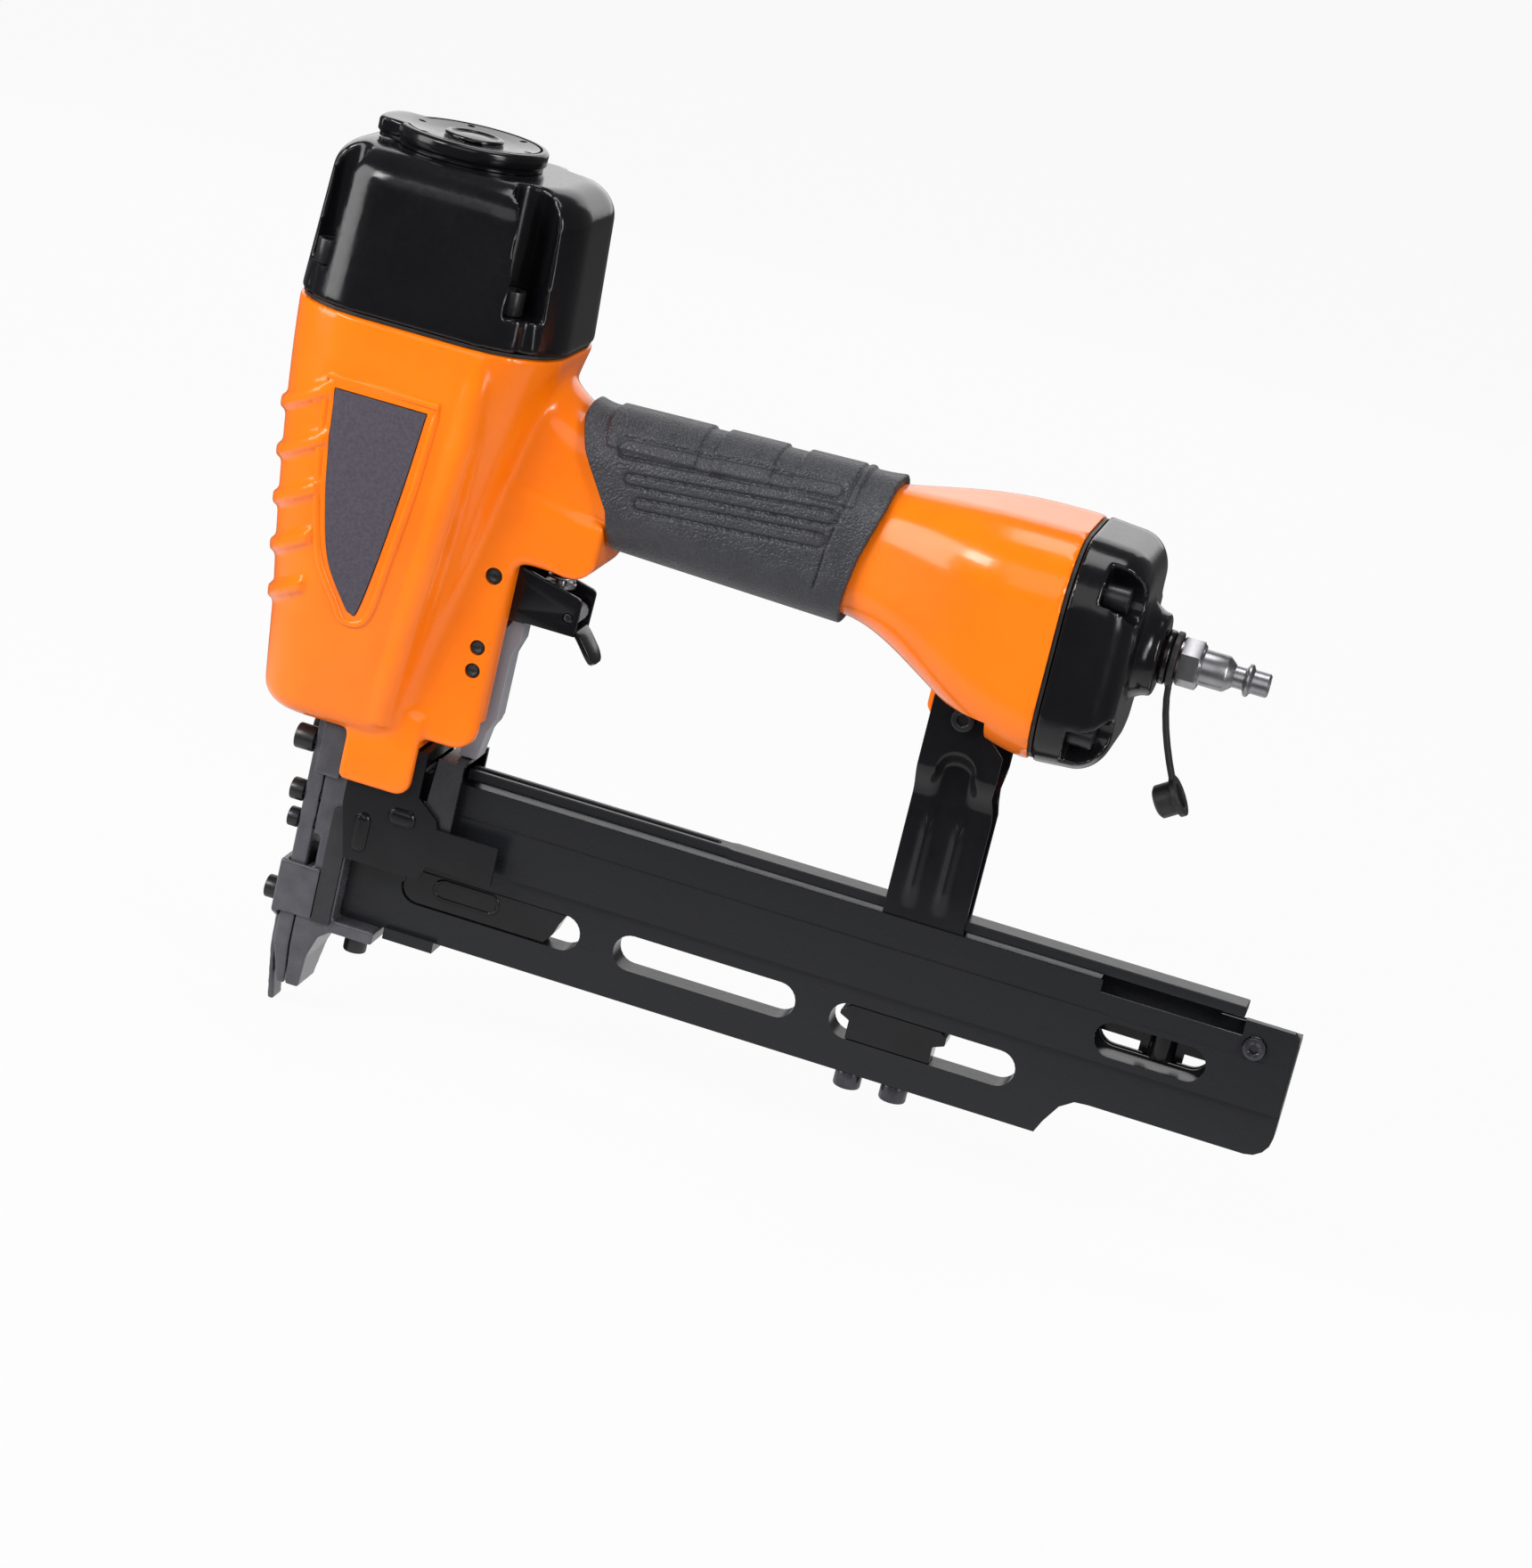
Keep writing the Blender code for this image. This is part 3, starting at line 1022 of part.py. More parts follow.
def make_trip_lever():
    eye = LEVER_PIN_RADIUS + 1.7
    outline = arc(LEVER_PIVOT_X, LEVER_PIVOT_Z, eye, -120, 100, 8)
    outline += [(VALVE_X, LEVER_PIVOT_Z + 0.5), (LEVER_FRONT, LEVER_PIVOT_Z - 0.6),
                (LEVER_FRONT, LEVER_PIVOT_Z - 2.6)]
    outline += [(LEVER_FRONT + 5, LEVER_PIVOT_Z - 2.2), (VALVE_X + 1, LEVER_PIVOT_Z - 1.8)]
    lever = prism("trip_lever", outline, "Y", -LEVER_HALF, LEVER_HALF, GREY_STEEL,
                  (LEVER_PIVOT_X, 0, LEVER_PIVOT_Z))
    cut(lever, rod("lever_eye", LEVER_PIN_RADIUS + RUN_GAP / 2, "Y", (LEVER_PIVOT_X, LEVER_PIVOT_Z), -20,
                   20))


def make_valve():
    low = TRIGGER_ROOF - 2 * SEAT_GAP
    bore = STEM_RADIUS + SEAT_GAP
    profile = [(bore, low + 15), (bore, low), (VALVE_RADIUS, low), (VALVE_RADIUS, low + VALVE_HEIGHT - 1)]
    turned("valve_body", profile, "Z", (VALVE_X, 0), ALUMINIUM)
    foot = STEM_FOOT_Z
    stem = [(STEM_FOOT_RADIUS - 1, foot), (STEM_FOOT_RADIUS, foot + 0.6),
            (STEM_FOOT_RADIUS, foot + STEM_FOOT_THICK)]
    stem += [(STEM_RADIUS, foot + STEM_FOOT_THICK), (STEM_RADIUS, foot + STEM_LENGTH)]
    turned("valve_stem", stem, "Z", (VALVE_X, 0), STEEL, origin=(VALVE_X, 0, foot))


# The open coil round the valve stem, one unbroken wire.
def make_valve_spring():
    low = STEM_FOOT_Z + STEM_FOOT_THICK + SEAT_GAP + COIL_WIRE / 2
    high = TRIGGER_ROOF - 3 * SEAT_GAP - COIL_WIRE / 2
    count = round(COIL_TURNS * COIL_POINTS)
    path = []
    for i in range(count + 1):
        share = i / count
        turn = 2 * math.pi * COIL_TURNS * share
        path.append((COIL_RADIUS * math.cos(turn), COIL_RADIUS * math.sin(turn),
                     between(low, high, share) - low))
    gap = min(math.dist(path[i], path[j]) for i in range(count) for j in range(i + COIL_POINTS // 2,
                                                                               count + 1))
    print(f"valve_spring least gap to itself {gap - COIL_WIRE:.2f} mm")
    curve = bpy.data.curves.new("valve_spring", "CURVE")
    curve.dimensions = "3D"
    curve.bevel_depth = COIL_WIRE / 2 * MM
    curve.bevel_resolution = 1
    curve.use_fill_caps = True
    spline = curve.splines.new("POLY")
    spline.points.add(count)
    for point, place in zip(spline.points, path):
        point.co = (place[0] * MM, place[1] * MM, place[2] * MM, 1)
    curve.materials.append(STEEL)
    spring = bpy.data.objects.new("valve_spring", curve)
    bpy.context.scene.collection.objects.link(spring)
    spring.parent = frame
    spring.location = (VALVE_X * MM, 0, low * MM)


# Contact safety: upper arm, yoke and front foot move together.

def make_safety_arm():
    top = ARM_TOP
    slot = GUIDE_PIN_RADIUS + RUN_GAP
    front = GUIDE_PIN_X - slot - 1.2
    low = YOKE_TOP + SEAT_GAP
    shoulder = GUIDE_PIN_LOW - SAFETY_TRAVEL - slot - ARM_WALL
    outline = [(front + 2.6, low), (WEB_REAR - 1.5, low), (WEB_REAR, between(low, shoulder, 0.59))]
    outline += [(ARM_REAR, between(low, shoulder, 0.94))]
    outline += [(ARM_REAR, top - 12.4), (ARM_REAR + 2, top - 6.4), (ARM_REAR + 2, top), (ARM_REAR - 2, top)]
    outline += [(ARM_REAR - 3.5, top - 2.9), (front, top - 2.9), (front, shoulder)]
    outline += [(front + 2.6, between(low, shoulder, 0.76))]
    arm = prism("safety_arm", outline, "Y", -ARM_HALF, ARM_HALF, GREY_STEEL,
                (GUIDE_PIN_X, 0, GUIDE_PIN_LOW))
    guide = arc(GUIDE_PIN_X, GUIDE_PIN_LOW - SAFETY_TRAVEL, slot, 180, 360, 8)
    guide += arc(GUIDE_PIN_X, GUIDE_PIN_HIGH, slot, 0, 180, 8)
    cut(arm, prism("arm_slot", guide, "Y", -20, 20))


def make_safety_yoke():
    reach = FOOT_EAR_REAR + SEAT_GAP
    strip = reach + YOKE_STRIP
    rear = GUIDE_PIN_X + 3.7
    outline = [(reach, FOOT_EAR_LOW), (strip, FOOT_EAR_LOW), (strip, YOKE_TOP - 37.6)]
    outline += [(rear, YOKE_TOP - 27.6), (rear, YOKE_TOP), (rear - 9, YOKE_TOP), (rear - 10, YOKE_TOP - 15.6)]
    outline += [(strip, YOKE_TOP - 24.6), (reach, YOKE_TOP - 27.6)]
    yoke = prism("safety_yoke", outline, "Y", -YOKE_OUT, -YOKE_IN, GLOSS_BLACK, (GUIDE_PIN_X, 0, YOKE_TOP))
    bridge = box("yoke_bridge", (rear - 8.6, -YOKE_OUT + 0.2, YOKE_TOP - YOKE_SHEET),
                 (rear - 0.4, YOKE_OUT - 0.2, YOKE_TOP - 0.05))
    fuse(yoke, bridge, prism("yoke_far_side", outline, "Y", YOKE_IN, YOKE_OUT))


def make_contact_foot():
    rear = FOOT_FRONT + FOOT_SHEET
    side_view = [(FOOT_FRONT, FOOT_EAR_HIGH), (FOOT_FRONT, PRONG_BEND), (FOOT_FRONT + PRONG_LEAN, FOOT_TIP)]
    side_view += [(rear + PRONG_LEAN, FOOT_TIP), (rear, PRONG_BEND - 5), (rear, FOOT_EAR_HIGH)]
    foot = prism("contact_foot", side_view, "Y", -YOKE_OUT, YOKE_OUT, PHOSPHATE, (FOOT_FRONT, 0, FOOT_TIP))
    edge = [(YOKE_OUT + 1, FOOT_EAR_HIGH + 1), (YOKE_OUT + 1, FOOT_EAR_LOW), (PRONG_HALF, FOOT_EAR_LOW - 5)]
    edge += [(PRONG_HALF - 1.5, 2), (PRONG_HALF - 2.5, FOOT_TIP - 1)]
    face = edge + [(-y, z) for y, z in reversed(edge)]
    keep(foot, prism("foot_face", face, "X", FOOT_FRONT - 5, rear + 8))
    for side in (-1, 1):
        inside, outside = sorted((side * YOKE_IN, side * (YOKE_OUT - 0.05)))
        fuse(foot, box(f"foot_ear_{side}", (rear - 1, inside, FOOT_EAR_LOW + 0.05),
                       (FOOT_EAR_REAR, outside, FOOT_EAR_HIGH - 0.05)))
    slot = FOOT_BOLT_RADIUS + RUN_GAP
    guide = arc(0, FOOT_BOLT_Z - SAFETY_TRAVEL, slot, 180, 360, 8) + arc(0, FOOT_BOLT_Z, slot, 0, 180, 8)
    cut(foot, prism("foot_slot", guide, "X", FOOT_FRONT - 5, rear + 5))


def make_foot_bolt():
    seat = FOOT_FRONT - SEAT_GAP
    socket_screw("foot_bolt", "X", (0, FOOT_BOLT_Z), seat, 1, 4.0, FOOT_BOLT_HEAD, FOOT_BOLT_RADIUS,
                 PLATE_REAR - 1.4 - seat, 1.9, PHOSPHATE)


# Nose group

def nose_bolt_places():
    rows = zip(NOSE_BOLT_DROPS, NOSE_BOLT_HEADS, NOSE_BOLT_HEIGHTS)
    return [(side * NOSE_BOLT_Y, BARREL_FOOT - drop, head, height) for drop, head,
            height in rows for side in (-1, 1)]


# Front view that narrows both nose pieces towards the drive exit.
def nose_taper(name):
    edge = [(NOSE_HALF + 4, NOSE_TOP + 4), (NOSE_HALF + 4, NOSE_TIP_HEIGHT + 8),
            (NOSE_HALF, NOSE_TIP_HEIGHT)]
    edge += [(NOSE_TIP_HALF, 0), (NOSE_TIP_HALF, -4)]
    return prism(name, edge + [(-y, z) for y, z in reversed(edge)], "X", PLATE_FRONT - 5,
                 NOSE_BLOCK_REAR + 5)


def make_nose_body():
    front = -CHANNEL_DEPTH / 2
    outline = [(front, 0), (NOSE_PAD_REAR, 0), (NOSE_PAD_REAR + 1.5, NOSE_LUG_LOW - 11.5),
               (NOSE_PAD_REAR + 4.4, NOSE_LUG_LOW - 3)]
    outline += [(NOSE_REAR, NOSE_LUG_LOW)]
    outline += [(NOSE_LUG_REAR, NOSE_LUG_LOW), (NOSE_LUG_REAR, MAG_LOW - SEAT_GAP),
                (NOSE_REAR, MAG_LOW - SEAT_GAP)]
    outline += [(NOSE_REAR, NOSE_BLOCK_LOW), (NOSE_BLOCK_REAR, NOSE_BLOCK_LOW), (NOSE_BLOCK_REAR, NOSE_TOP)]
    outline += [(front, NOSE_TOP)]
    nose = prism("nose_body", outline, "Y", -NOSE_HALF, NOSE_HALF, PHOSPHATE)
    keep(nose, nose_taper("body_taper"))
    cut(nose, box("side_window", (front - 5, -NOSE_HALF - 5, NOSE_WINDOW_LOW),
                  (0.6 - front, NOSE_HALF + 5, NOSE_WINDOW_HIGH)))
    cut(nose, box("drive_channel", (front - 5, -CHANNEL_WIDTH / 2, -5),
                  (-front, CHANNEL_WIDTH / 2, NOSE_TOP + 5)))
    feed_half = LEG_SPACE + RUN_GAP
    cut(nose, box("feed_slot", (0, -feed_half, MAG_STEP_Z), (NOSE_REAR + 5, feed_half, COVER_LOW + 0.4)))
    for y, z, head, height in nose_bolt_places():
        cut(nose, rod("nose_bolt_cut", NOSE_BOLT_RADIUS + SEAT_GAP, "X", (y, z), front - 5,
                      front + NOSE_BOLT_GRIP - PLATE_THICK + 2))
    cut(nose, rod("mag_bolt_cut", STRUT_BOLT_RADIUS + SEAT_GAP, "Z", (MAG_BOLT_X, 0), NOSE_LUG_LOW - 5,
                  MAG_LOW + 5))


def make_nose_plate():
    outline = [(PLATE_REAR, 0), (PLATE_REAR, NOSE_TOP), (PLATE_FRONT, NOSE_TOP),
               (PLATE_FRONT, NOSE_TIP_HEIGHT)]
    outline += [(PLATE_FRONT + PRONG_LEAN + RUN_GAP, 0)]
    plate = prism("nose_front_plate", outline, "Y", -NOSE_HALF, NOSE_HALF, PHOSPHATE)
    keep(plate, nose_taper("plate_taper"))
    out = NOSE_HALF + SEAT_GAP + PLATE_EAR
    head = box("plate_head", (PLATE_EAR_FRONT, -out, PLATE_EAR_LOW), (PLATE_EAR_REAR, out, NOSE_TOP - 0.05))
    clear = NOSE_HALF + SEAT_GAP
    cut(head, box("plate_head_cut", (PLATE_REAR, -clear, PLATE_EAR_LOW - 5),
                  (PLATE_EAR_REAR + 5, clear, NOSE_TOP + 5)))
    fuse(plate, head)
    for y, z, head, height in nose_bolt_places():
        cut(plate, rod("plate_bolt_cut", NOSE_BOLT_RADIUS + SEAT_GAP, "X", (y, z), PLATE_FRONT - 5,
                       PLATE_REAR + 5))
    cut(plate, rod("foot_bolt_cut", FOOT_BOLT_RADIUS + SEAT_GAP, "X", (0, FOOT_BOLT_Z), PLATE_FRONT - 5,
                   PLATE_REAR - 1))


def make_nose_bolts():
    for i, (y, z, head, height) in enumerate(nose_bolt_places()):
        seat = PLATE_FRONT - SEAT_GAP
        socket_screw(f"nose_bolt_{i + 1}", "X", (y, z), seat, 1, head, height, NOSE_BOLT_RADIUS,
                     NOSE_BOLT_GRIP, 1.7, PHOSPHATE)


# Stamped saddle that carries the front of the magazine between the tongue's walls.
def make_nose_bracket():
    ear_low = MAG_STEP_Z - 1.5
    ear_high = MAG_STEP_Z + 12
    shelf = SLOT_HIGH + 0.2
    neck = BRACKET_REAR - 7.5
    outline = [(8, NOSE_TOP), (8, TONGUE_LOW - 8.5), (NOSE_REAR, shelf), (BRACKET_REAR - 2, shelf)]
    outline += [(BRACKET_REAR, ear_low), (BRACKET_EAR_REAR, ear_low), (BRACKET_EAR_REAR, ear_high)]
    outline += [(BRACKET_REAR + 1, ear_high), (BRACKET_REAR, ear_high + 3)]
    outline += [(neck, ear_high + 9), (neck, NOSE_TOP)]
    bracket = prism("nose_bracket", outline, "Y", -BRACKET_OUT, -BRACKET_IN, GLOSS_BLACK)
    bridge = box("bracket_bridge", (NOSE_BLOCK_REAR + SEAT_GAP, -BRACKET_OUT + 0.1, COVER_TOP + RUN_GAP),
                 (neck - 0.1, BRACKET_OUT - 0.1, NOSE_TOP - 0.05))
    fuse(bracket, bridge, prism("bracket_far_side", outline, "Y", BRACKET_IN, BRACKET_OUT))
    for side in (-1, 1):
        inside, outside = sorted((side * (BRACKET_OUT - 0.2), side * (BRACKET_OUT + 1.3)))
        dimple = prism(f"bracket_dimple_{side}", rounded(14, 18.4, MAG_STEP_Z - 3, MAG_STEP_Z + 10, 2.1, 3),
                       "Y", inside, outside)
        bead = prism(f"bracket_bead_{side}", rounded(25, 33.5, MAG_STEP_Z + 10, MAG_STEP_Z + 15, 2.2, 3), "Y",
                     inside, outside)
        fuse(bracket, dimple, bead)


# Magazine

def slot_outline(u0, u1, v0, v1):
    return rounded(u0, u1, v0, v1, (v1 - v0) / 2, 6)


def make_magazine():
    half = WEB_THICK / 2
    tail = MAG_TAIL_ROUND
    outline = [(MAG_FRONT, MAG_LOW), (MAG_KINK, MAG_LOW), (MAG_KINK + 2, MAG_LOW + 4.5)]
    outline += [(MAG_KINK + 6, MAG_TAIL_LOW - 3.5), (MAG_KINK + 10.5, MAG_TAIL_LOW - 0.4),
                (MAG_KINK + 15, MAG_TAIL_LOW)]
    outline += arc(MAG_REAR - tail, MAG_TAIL_LOW + tail, tail, -90, 0, 4)
    outline += [(MAG_REAR, MAG_TAIL_TOP - 2), (MAG_REAR - 2, MAG_TAIL_TOP), (MAG_TAIL_FRONT, MAG_TAIL_TOP)]
    outline += [(MAG_TAIL_FRONT, MAG_RAIL_TOP), (MAG_RAIL_FRONT, MAG_RAIL_TOP),
                (MAG_RAIL_FRONT, MAG_STEP_Z + MAG_FLOOR)]
    outline += [(MAG_FRONT, MAG_STEP_Z + MAG_FLOOR)]
    magazine = prism("magazine_body", outline, "Y", -half, half, SATIN_BLACK)
    inner = LEG_SPACE
    for side in (-1, 1):
        wall = [(half - 0.5, MAG_STEP_Z), (MAG_HALF, MAG_STEP_Z), (MAG_HALF, MAG_LEDGE_Z)]
        wall += [(MAG_HALF - MAG_LEDGE, MAG_LEDGE_Z + 0.5), (MAG_HALF - MAG_LEDGE, MAG_LIP_Z),
                 (inner, MAG_LIP_Z)]
        wall += [(inner, MAG_STEP_Z + MAG_FLOOR), (half - 0.5, MAG_STEP_Z + MAG_FLOOR)]
        section = [(side * y, z) for y, z in wall]
        fuse(magazine, prism(f"magazine_wall_{side}", section, "X", MAG_FRONT, MAG_REAR - 0.6))
    cheek = [(MAG_TAIL_FRONT, MAG_STEP_Z + 1), (MAG_REAR - 0.2, MAG_STEP_Z + 1),
             (MAG_REAR - 0.2, MAG_TAIL_TOP - 2)]
    cheek += [(MAG_REAR - 2.2, MAG_TAIL_TOP - 0.1), (MAG_TAIL_FRONT, MAG_TAIL_TOP - 0.1)]
    fuse(magazine, prism("magazine_tail", cheek, "Y", 0.2 - MAG_HALF, MAG_HALF - 0.2))
    cut(magazine, box("tail_step", (MAG_TAIL_FRONT - 9, MAG_TAIL_LIP - MAG_HALF,
                                    MAG_TAIL_TOP - MAG_TAIL_STEP),
                      (MAG_REAR + 5, MAG_HALF + 5, MAG_TAIL_TOP + 5)))
    fuse(magazine, box("rail_stop", (NOSE_LUG_REAR + 2, -STOP_HALF, MAG_LOW - STOP_DEPTH),
                       (NOSE_LUG_REAR + 2 + STOP_LENGTH, STOP_HALF, MAG_LOW + 1)))
    notch = MAG_LIP_Z - MAG_NOTCH_DEPTH
    cut(magazine, box("lip_notch", (MAG_NOTCH_START, -20, notch),
                      (MAG_TAIL_FRONT - 0.1, 0.4 - inner, MAG_LIP_Z + 9)))
    for i in range(SLOT_COUNT):
        start = SLOT_START + i * SLOT_PITCH
        window = slot_outline(start, start + SLOT_LENGTH, SLOT_LOW, SLOT_HIGH)
        cut(magazine, prism(f"magazine_slot_{i + 1}", window, "Y", -20, 20))
    reach = LATCH_SLOT_LENGTH / 2
    rise = LATCH_SLOT_HEIGHT / 2
    window = slot_outline(LATCH_SLOT_X - reach, LATCH_SLOT_X + reach, LATCH_SLOT_Z - rise,
                          LATCH_SLOT_Z + rise)
    cut(magazine, prism("latch_slot", window, "Y", -20, 20))
    cut(magazine, box("latch_space", (LATCH_SLOT_X - reach - 3, -inner, MAG_STEP_Z + MAG_FLOOR),
                      (LATCH_SCREW_X + 7, LATCH_SHEET + 3, MAG_TAIL_TOP - 2.4)))
    cut(magazine, rod("latch_screw_cut", 2 + SEAT_GAP, "Y", (LATCH_SCREW_X, LATCH_SCREW_Z), -20, 20))
    cut(magazine, rod("latch_head_cut", LATCH_SCREW_HEAD + SEAT_GAP, "Y", (LATCH_SCREW_X, LATCH_SCREW_Z),
                      -20, -inner))
    cut(magazine, box("anchor_window", (ANCHOR_FRONT - RUN_GAP, -half - 1, ANCHOR_LOW - SEAT_GAP),
                      (ANCHOR_REAR + RUN_GAP, half + 1, ANCHOR_HIGH + SEAT_GAP)))
    for i in range(2):
        cut(magazine, rod(f"strut_bolt_cut_{i + 1}", STRUT_BOLT_RADIUS + SEAT_GAP, "Z",
                          (STRUT_BOLT_X + i * STRUT_BOLT_PITCH, 0), MAG_LOW - 5, ANCHOR_LOW + 3))
    cut(magazine, rod("mag_bolt_bore", STRUT_BOLT_RADIUS + SEAT_GAP, "Z", (MAG_BOLT_X, 0), MAG_LOW - 5,
                      MAG_LOW + 10))


def make_magazine_cover():
    outline = [(COVER_FRONT, -COVER_NARROW_HALF), (COVER_NARROW_END, -COVER_NARROW_HALF)]
    outline += [(COVER_NARROW_END + 2, -COVER_HALF), (COVER_REAR, -COVER_HALF), (COVER_REAR, COVER_HALF)]
    outline += [(COVER_NARROW_END + 2, COVER_HALF), (COVER_NARROW_END, COVER_NARROW_HALF),
                (COVER_FRONT, COVER_NARROW_HALF)]
    cover = prism("magazine_cover", outline, "Z", COVER_LOW, COVER_TOP, SATIN_BLACK,
                  (COVER_FRONT, 0, COVER_LOW))
    groove = rounded(COVER_FRONT - 9, COVER_NARROW_END - 3, -COVER_GROOVE, COVER_GROOVE, COVER_GROOVE, 4)
    cut(cover, prism("cover_groove", groove, "Z", COVER_TOP - COVER_GROOVE, COVER_TOP + 4))


def make_pusher():
    half = WEB_THICK / 2
    inside = half + SEAT_GAP
    outside = inside + PUSHER_SHEET
    low = MAG_STEP_Z + MAG_FLOOR + RUN_GAP
    crest = MAG_RAIL_TOP + SEAT_GAP
    section = [(-outside, low), (-inside, low), (-inside, crest), (inside, crest), (inside, low),
               (outside, low)]
    section += [(outside, crest + PUSHER_SHEET), (-outside, crest + PUSHER_SHEET)]
    prism("pusher", section, "X", PUSHER_FRONT, PUSHER_FRONT + PUSHER_LENGTH, PHOSPHATE,
          (PUSHER_FRONT, 0, crest))


# Leaf with a rolled bump behind the rear slot, held by one screw.
def make_latch_spring():
    back = LATCH_SHEET + 3 - SEAT_GAP
    face = back - LATCH_SHEET
    reach = LATCH_SLOT_LENGTH / 2
    start = LATCH_SLOT_X - reach - 1
    crest = arc(LATCH_SLOT_X + 3, face, 4.5, 180, 360, 8)
    inner = arc(LATCH_SLOT_X + 3, back, 4.5, 360, 180, 8)
    plan = [(start, face)] + crest + [(LATCH_SCREW_X + 5, face),
                                      (LATCH_SCREW_X + 5, back)] + inner + [(start, back)]
    low = LATCH_SLOT_Z - LATCH_SLOT_HEIGHT / 2 + 1.6
    leaf = prism("latch_spring", plan, "Z", low, LATCH_SCREW_Z + 4.6, GLOSS_BLACK)
    cut(leaf, rod("leaf_hole", 2 + SEAT_GAP, "Y", (LATCH_SCREW_X, LATCH_SCREW_Z), -20, 20))
    cut(leaf, box("leaf_trim", (start - 5, -20, LATCH_SLOT_Z + LATCH_SLOT_HEIGHT / 2 - 1),
                  (LATCH_SCREW_X - 6, 20, MAG_TAIL_TOP)))
    for low_x, high_x in ((start - 5, LATCH_SLOT_X - 4.5), (LATCH_SLOT_X + 10.5, LATCH_SCREW_X - 6)):
        cut(leaf, box("leaf_relief", (low_x, -20, low - 5), (high_x, 20, LATCH_SLOT_Z - LEAF_RELIEF)))


def make_latch_screw():
    seat = -LEG_SPACE - SEAT_GAP
    socket_screw("latch_screw", "Y", (LATCH_SCREW_X, LATCH_SCREW_Z), seat, 1, LATCH_SCREW_HEAD, 2.4, 2.0,
                 MAG_HALF - 1 - seat, 1.8, STEEL)


def make_magazine_bolt():
    socket_screw("magazine_bolt", "Z", (MAG_BOLT_X, 0), NOSE_LUG_LOW - SEAT_GAP, 1, MAG_BOLT_HEAD, 7.5,
                 STRUT_BOLT_RADIUS,
                 MAG_LOW - NOSE_LUG_LOW + 9, 1.9, PHOSPHATE)


# Strut: two joggled plates joined by the anchor bar in the rail's window.

def strut_plate(name, side, material=None):
    wide = LUG_HALF + RUN_GAP
    narrow = STRUT_IN
    path = [(narrow, MAG_STEP_Z + MAG_FLOOR + RUN_GAP), (narrow, STRUT_KNEE_LOW), (wide, STRUT_KNEE_HIGH)]
    path += [(wide, STRUT_TOP)]
    section = [(side * y, z) for y, z in path] + [(side * (y + STRUT_SHEET), z) for y, z in reversed(path)]
    plate = prism(name, section, "X", STRUT_FRONT, STRUT_REAR, material)
    outline = [(STRUT_FRONT, 40), (STRUT_REAR, 40), (STRUT_REAR, 131), (STRUT_REAR - 2.2, 140),
               (STRUT_REAR - 1, 150.6)]
    outline += [(STRUT_TOP_REAR + 1.2, 156.8), (STRUT_TOP_REAR, STRUT_TOP - 1),
                (STRUT_TOP_REAR - 2, STRUT_TOP + 5)]
    outline += [(STRUT_FRONT, STRUT_TOP + 5)]
    keep(plate, prism(name + "_outline", outline, "Y", -30, 30))
    cut(plate, rod(name + "_hole", STRUT_SCREW_RADIUS + SEAT_GAP, "Y", (STRUT_SCREW_X, STRUT_SCREW_Z), -30,
                   30))
    return plate


def make_strut():
    strut = strut_plate("strut", -1, GLOSS_BLACK)
    bar = box("strut_anchor", (ANCHOR_FRONT, -STRUT_IN - 0.4, ANCHOR_LOW),
              (ANCHOR_REAR, STRUT_IN + 0.4, ANCHOR_HIGH))
    for i in range(2):
        cut(bar, rod(f"anchor_thread_{i + 1}", STRUT_BOLT_RADIUS + SEAT_GAP, "Z",
                     (STRUT_BOLT_X + i * STRUT_BOLT_PITCH, 0), ANCHOR_LOW - 3, ANCHOR_HIGH + 3))
    fuse(strut, bar, strut_plate("strut_far_side", 1))


def make_strut_foot():
    gap = SEAT_GAP
    half = WEB_THICK / 2
    front = STRUT_BOLT_X - STRUT_BOLT_RADIUS - 1.4
    low = SLOT_LOW + gap
    high = SLOT_HIGH - gap
    outline = [(front, low), (STRUT_REAR - 0.5, low), (STRUT_REAR - 0.5, low + 6),
               (STRUT_REAR + 3.3, low + 7.5)]
    outline += [(STRUT_REAR + 3.3, high - 1.4), (STRUT_REAR + 1, high), (front, high),
                (front - 3.4, high - 2.6)]
    outline += [(front - 3.4, high - 4), (front, high - 5.6)]
    foot = prism("strut_foot", outline, "Y", -half, half, GLOSS_BLACK)
    for i in range(2):
        x = STRUT_BOLT_X + i * STRUT_BOLT_PITCH
        cut(foot, rod(f"foot_bore_{i + 1}", STRUT_BOLT_RADIUS + gap, "Z", (x, 0), SLOT_LOW - 3,
                      SLOT_HIGH + 3))
        socket_screw(f"strut_bolt_{i + 1}", "Z", (x, 0), MAG_LOW - gap, 1, STRUT_BOLT_HEAD,
                     STRUT_BOLT_HEIGHT, STRUT_BOLT_RADIUS,
                     ANCHOR_HIGH - 1 - MAG_LOW, 2.2, GREY_STEEL)


def make_front_filler():
    end = SLOT_START + SLOT_LENGTH - 6
    rise = (SLOT_HIGH - SLOT_LOW) / 2
    middle = (SLOT_LOW + SLOT_HIGH) / 2
    inset = rise - SEAT_GAP
    outline = arc(SLOT_START + rise, middle, inset, 90, 270, 8)
    outline += [(end - 6, middle - inset), (end - 3.4, middle - 2), (end - 2, middle + 2),
                (end, middle + inset)]
    prism("magazine_filler", outline, "Y", -WEB_THICK / 2 + 0.6, WEB_THICK / 2 - 0.6, GLOSS_BLACK)


def make_strut_screw():
    reach = LUG_HALF + RUN_GAP + STRUT_SHEET + SEAT_GAP
    socket_screw("strut_screw", "Y", (STRUT_SCREW_X, STRUT_SCREW_Z), -reach, 1, STRUT_SCREW_HEAD, 2.6,
                 STRUT_SCREW_RADIUS, 2 * reach + 1.5, 2.2, PHOSPHATE)


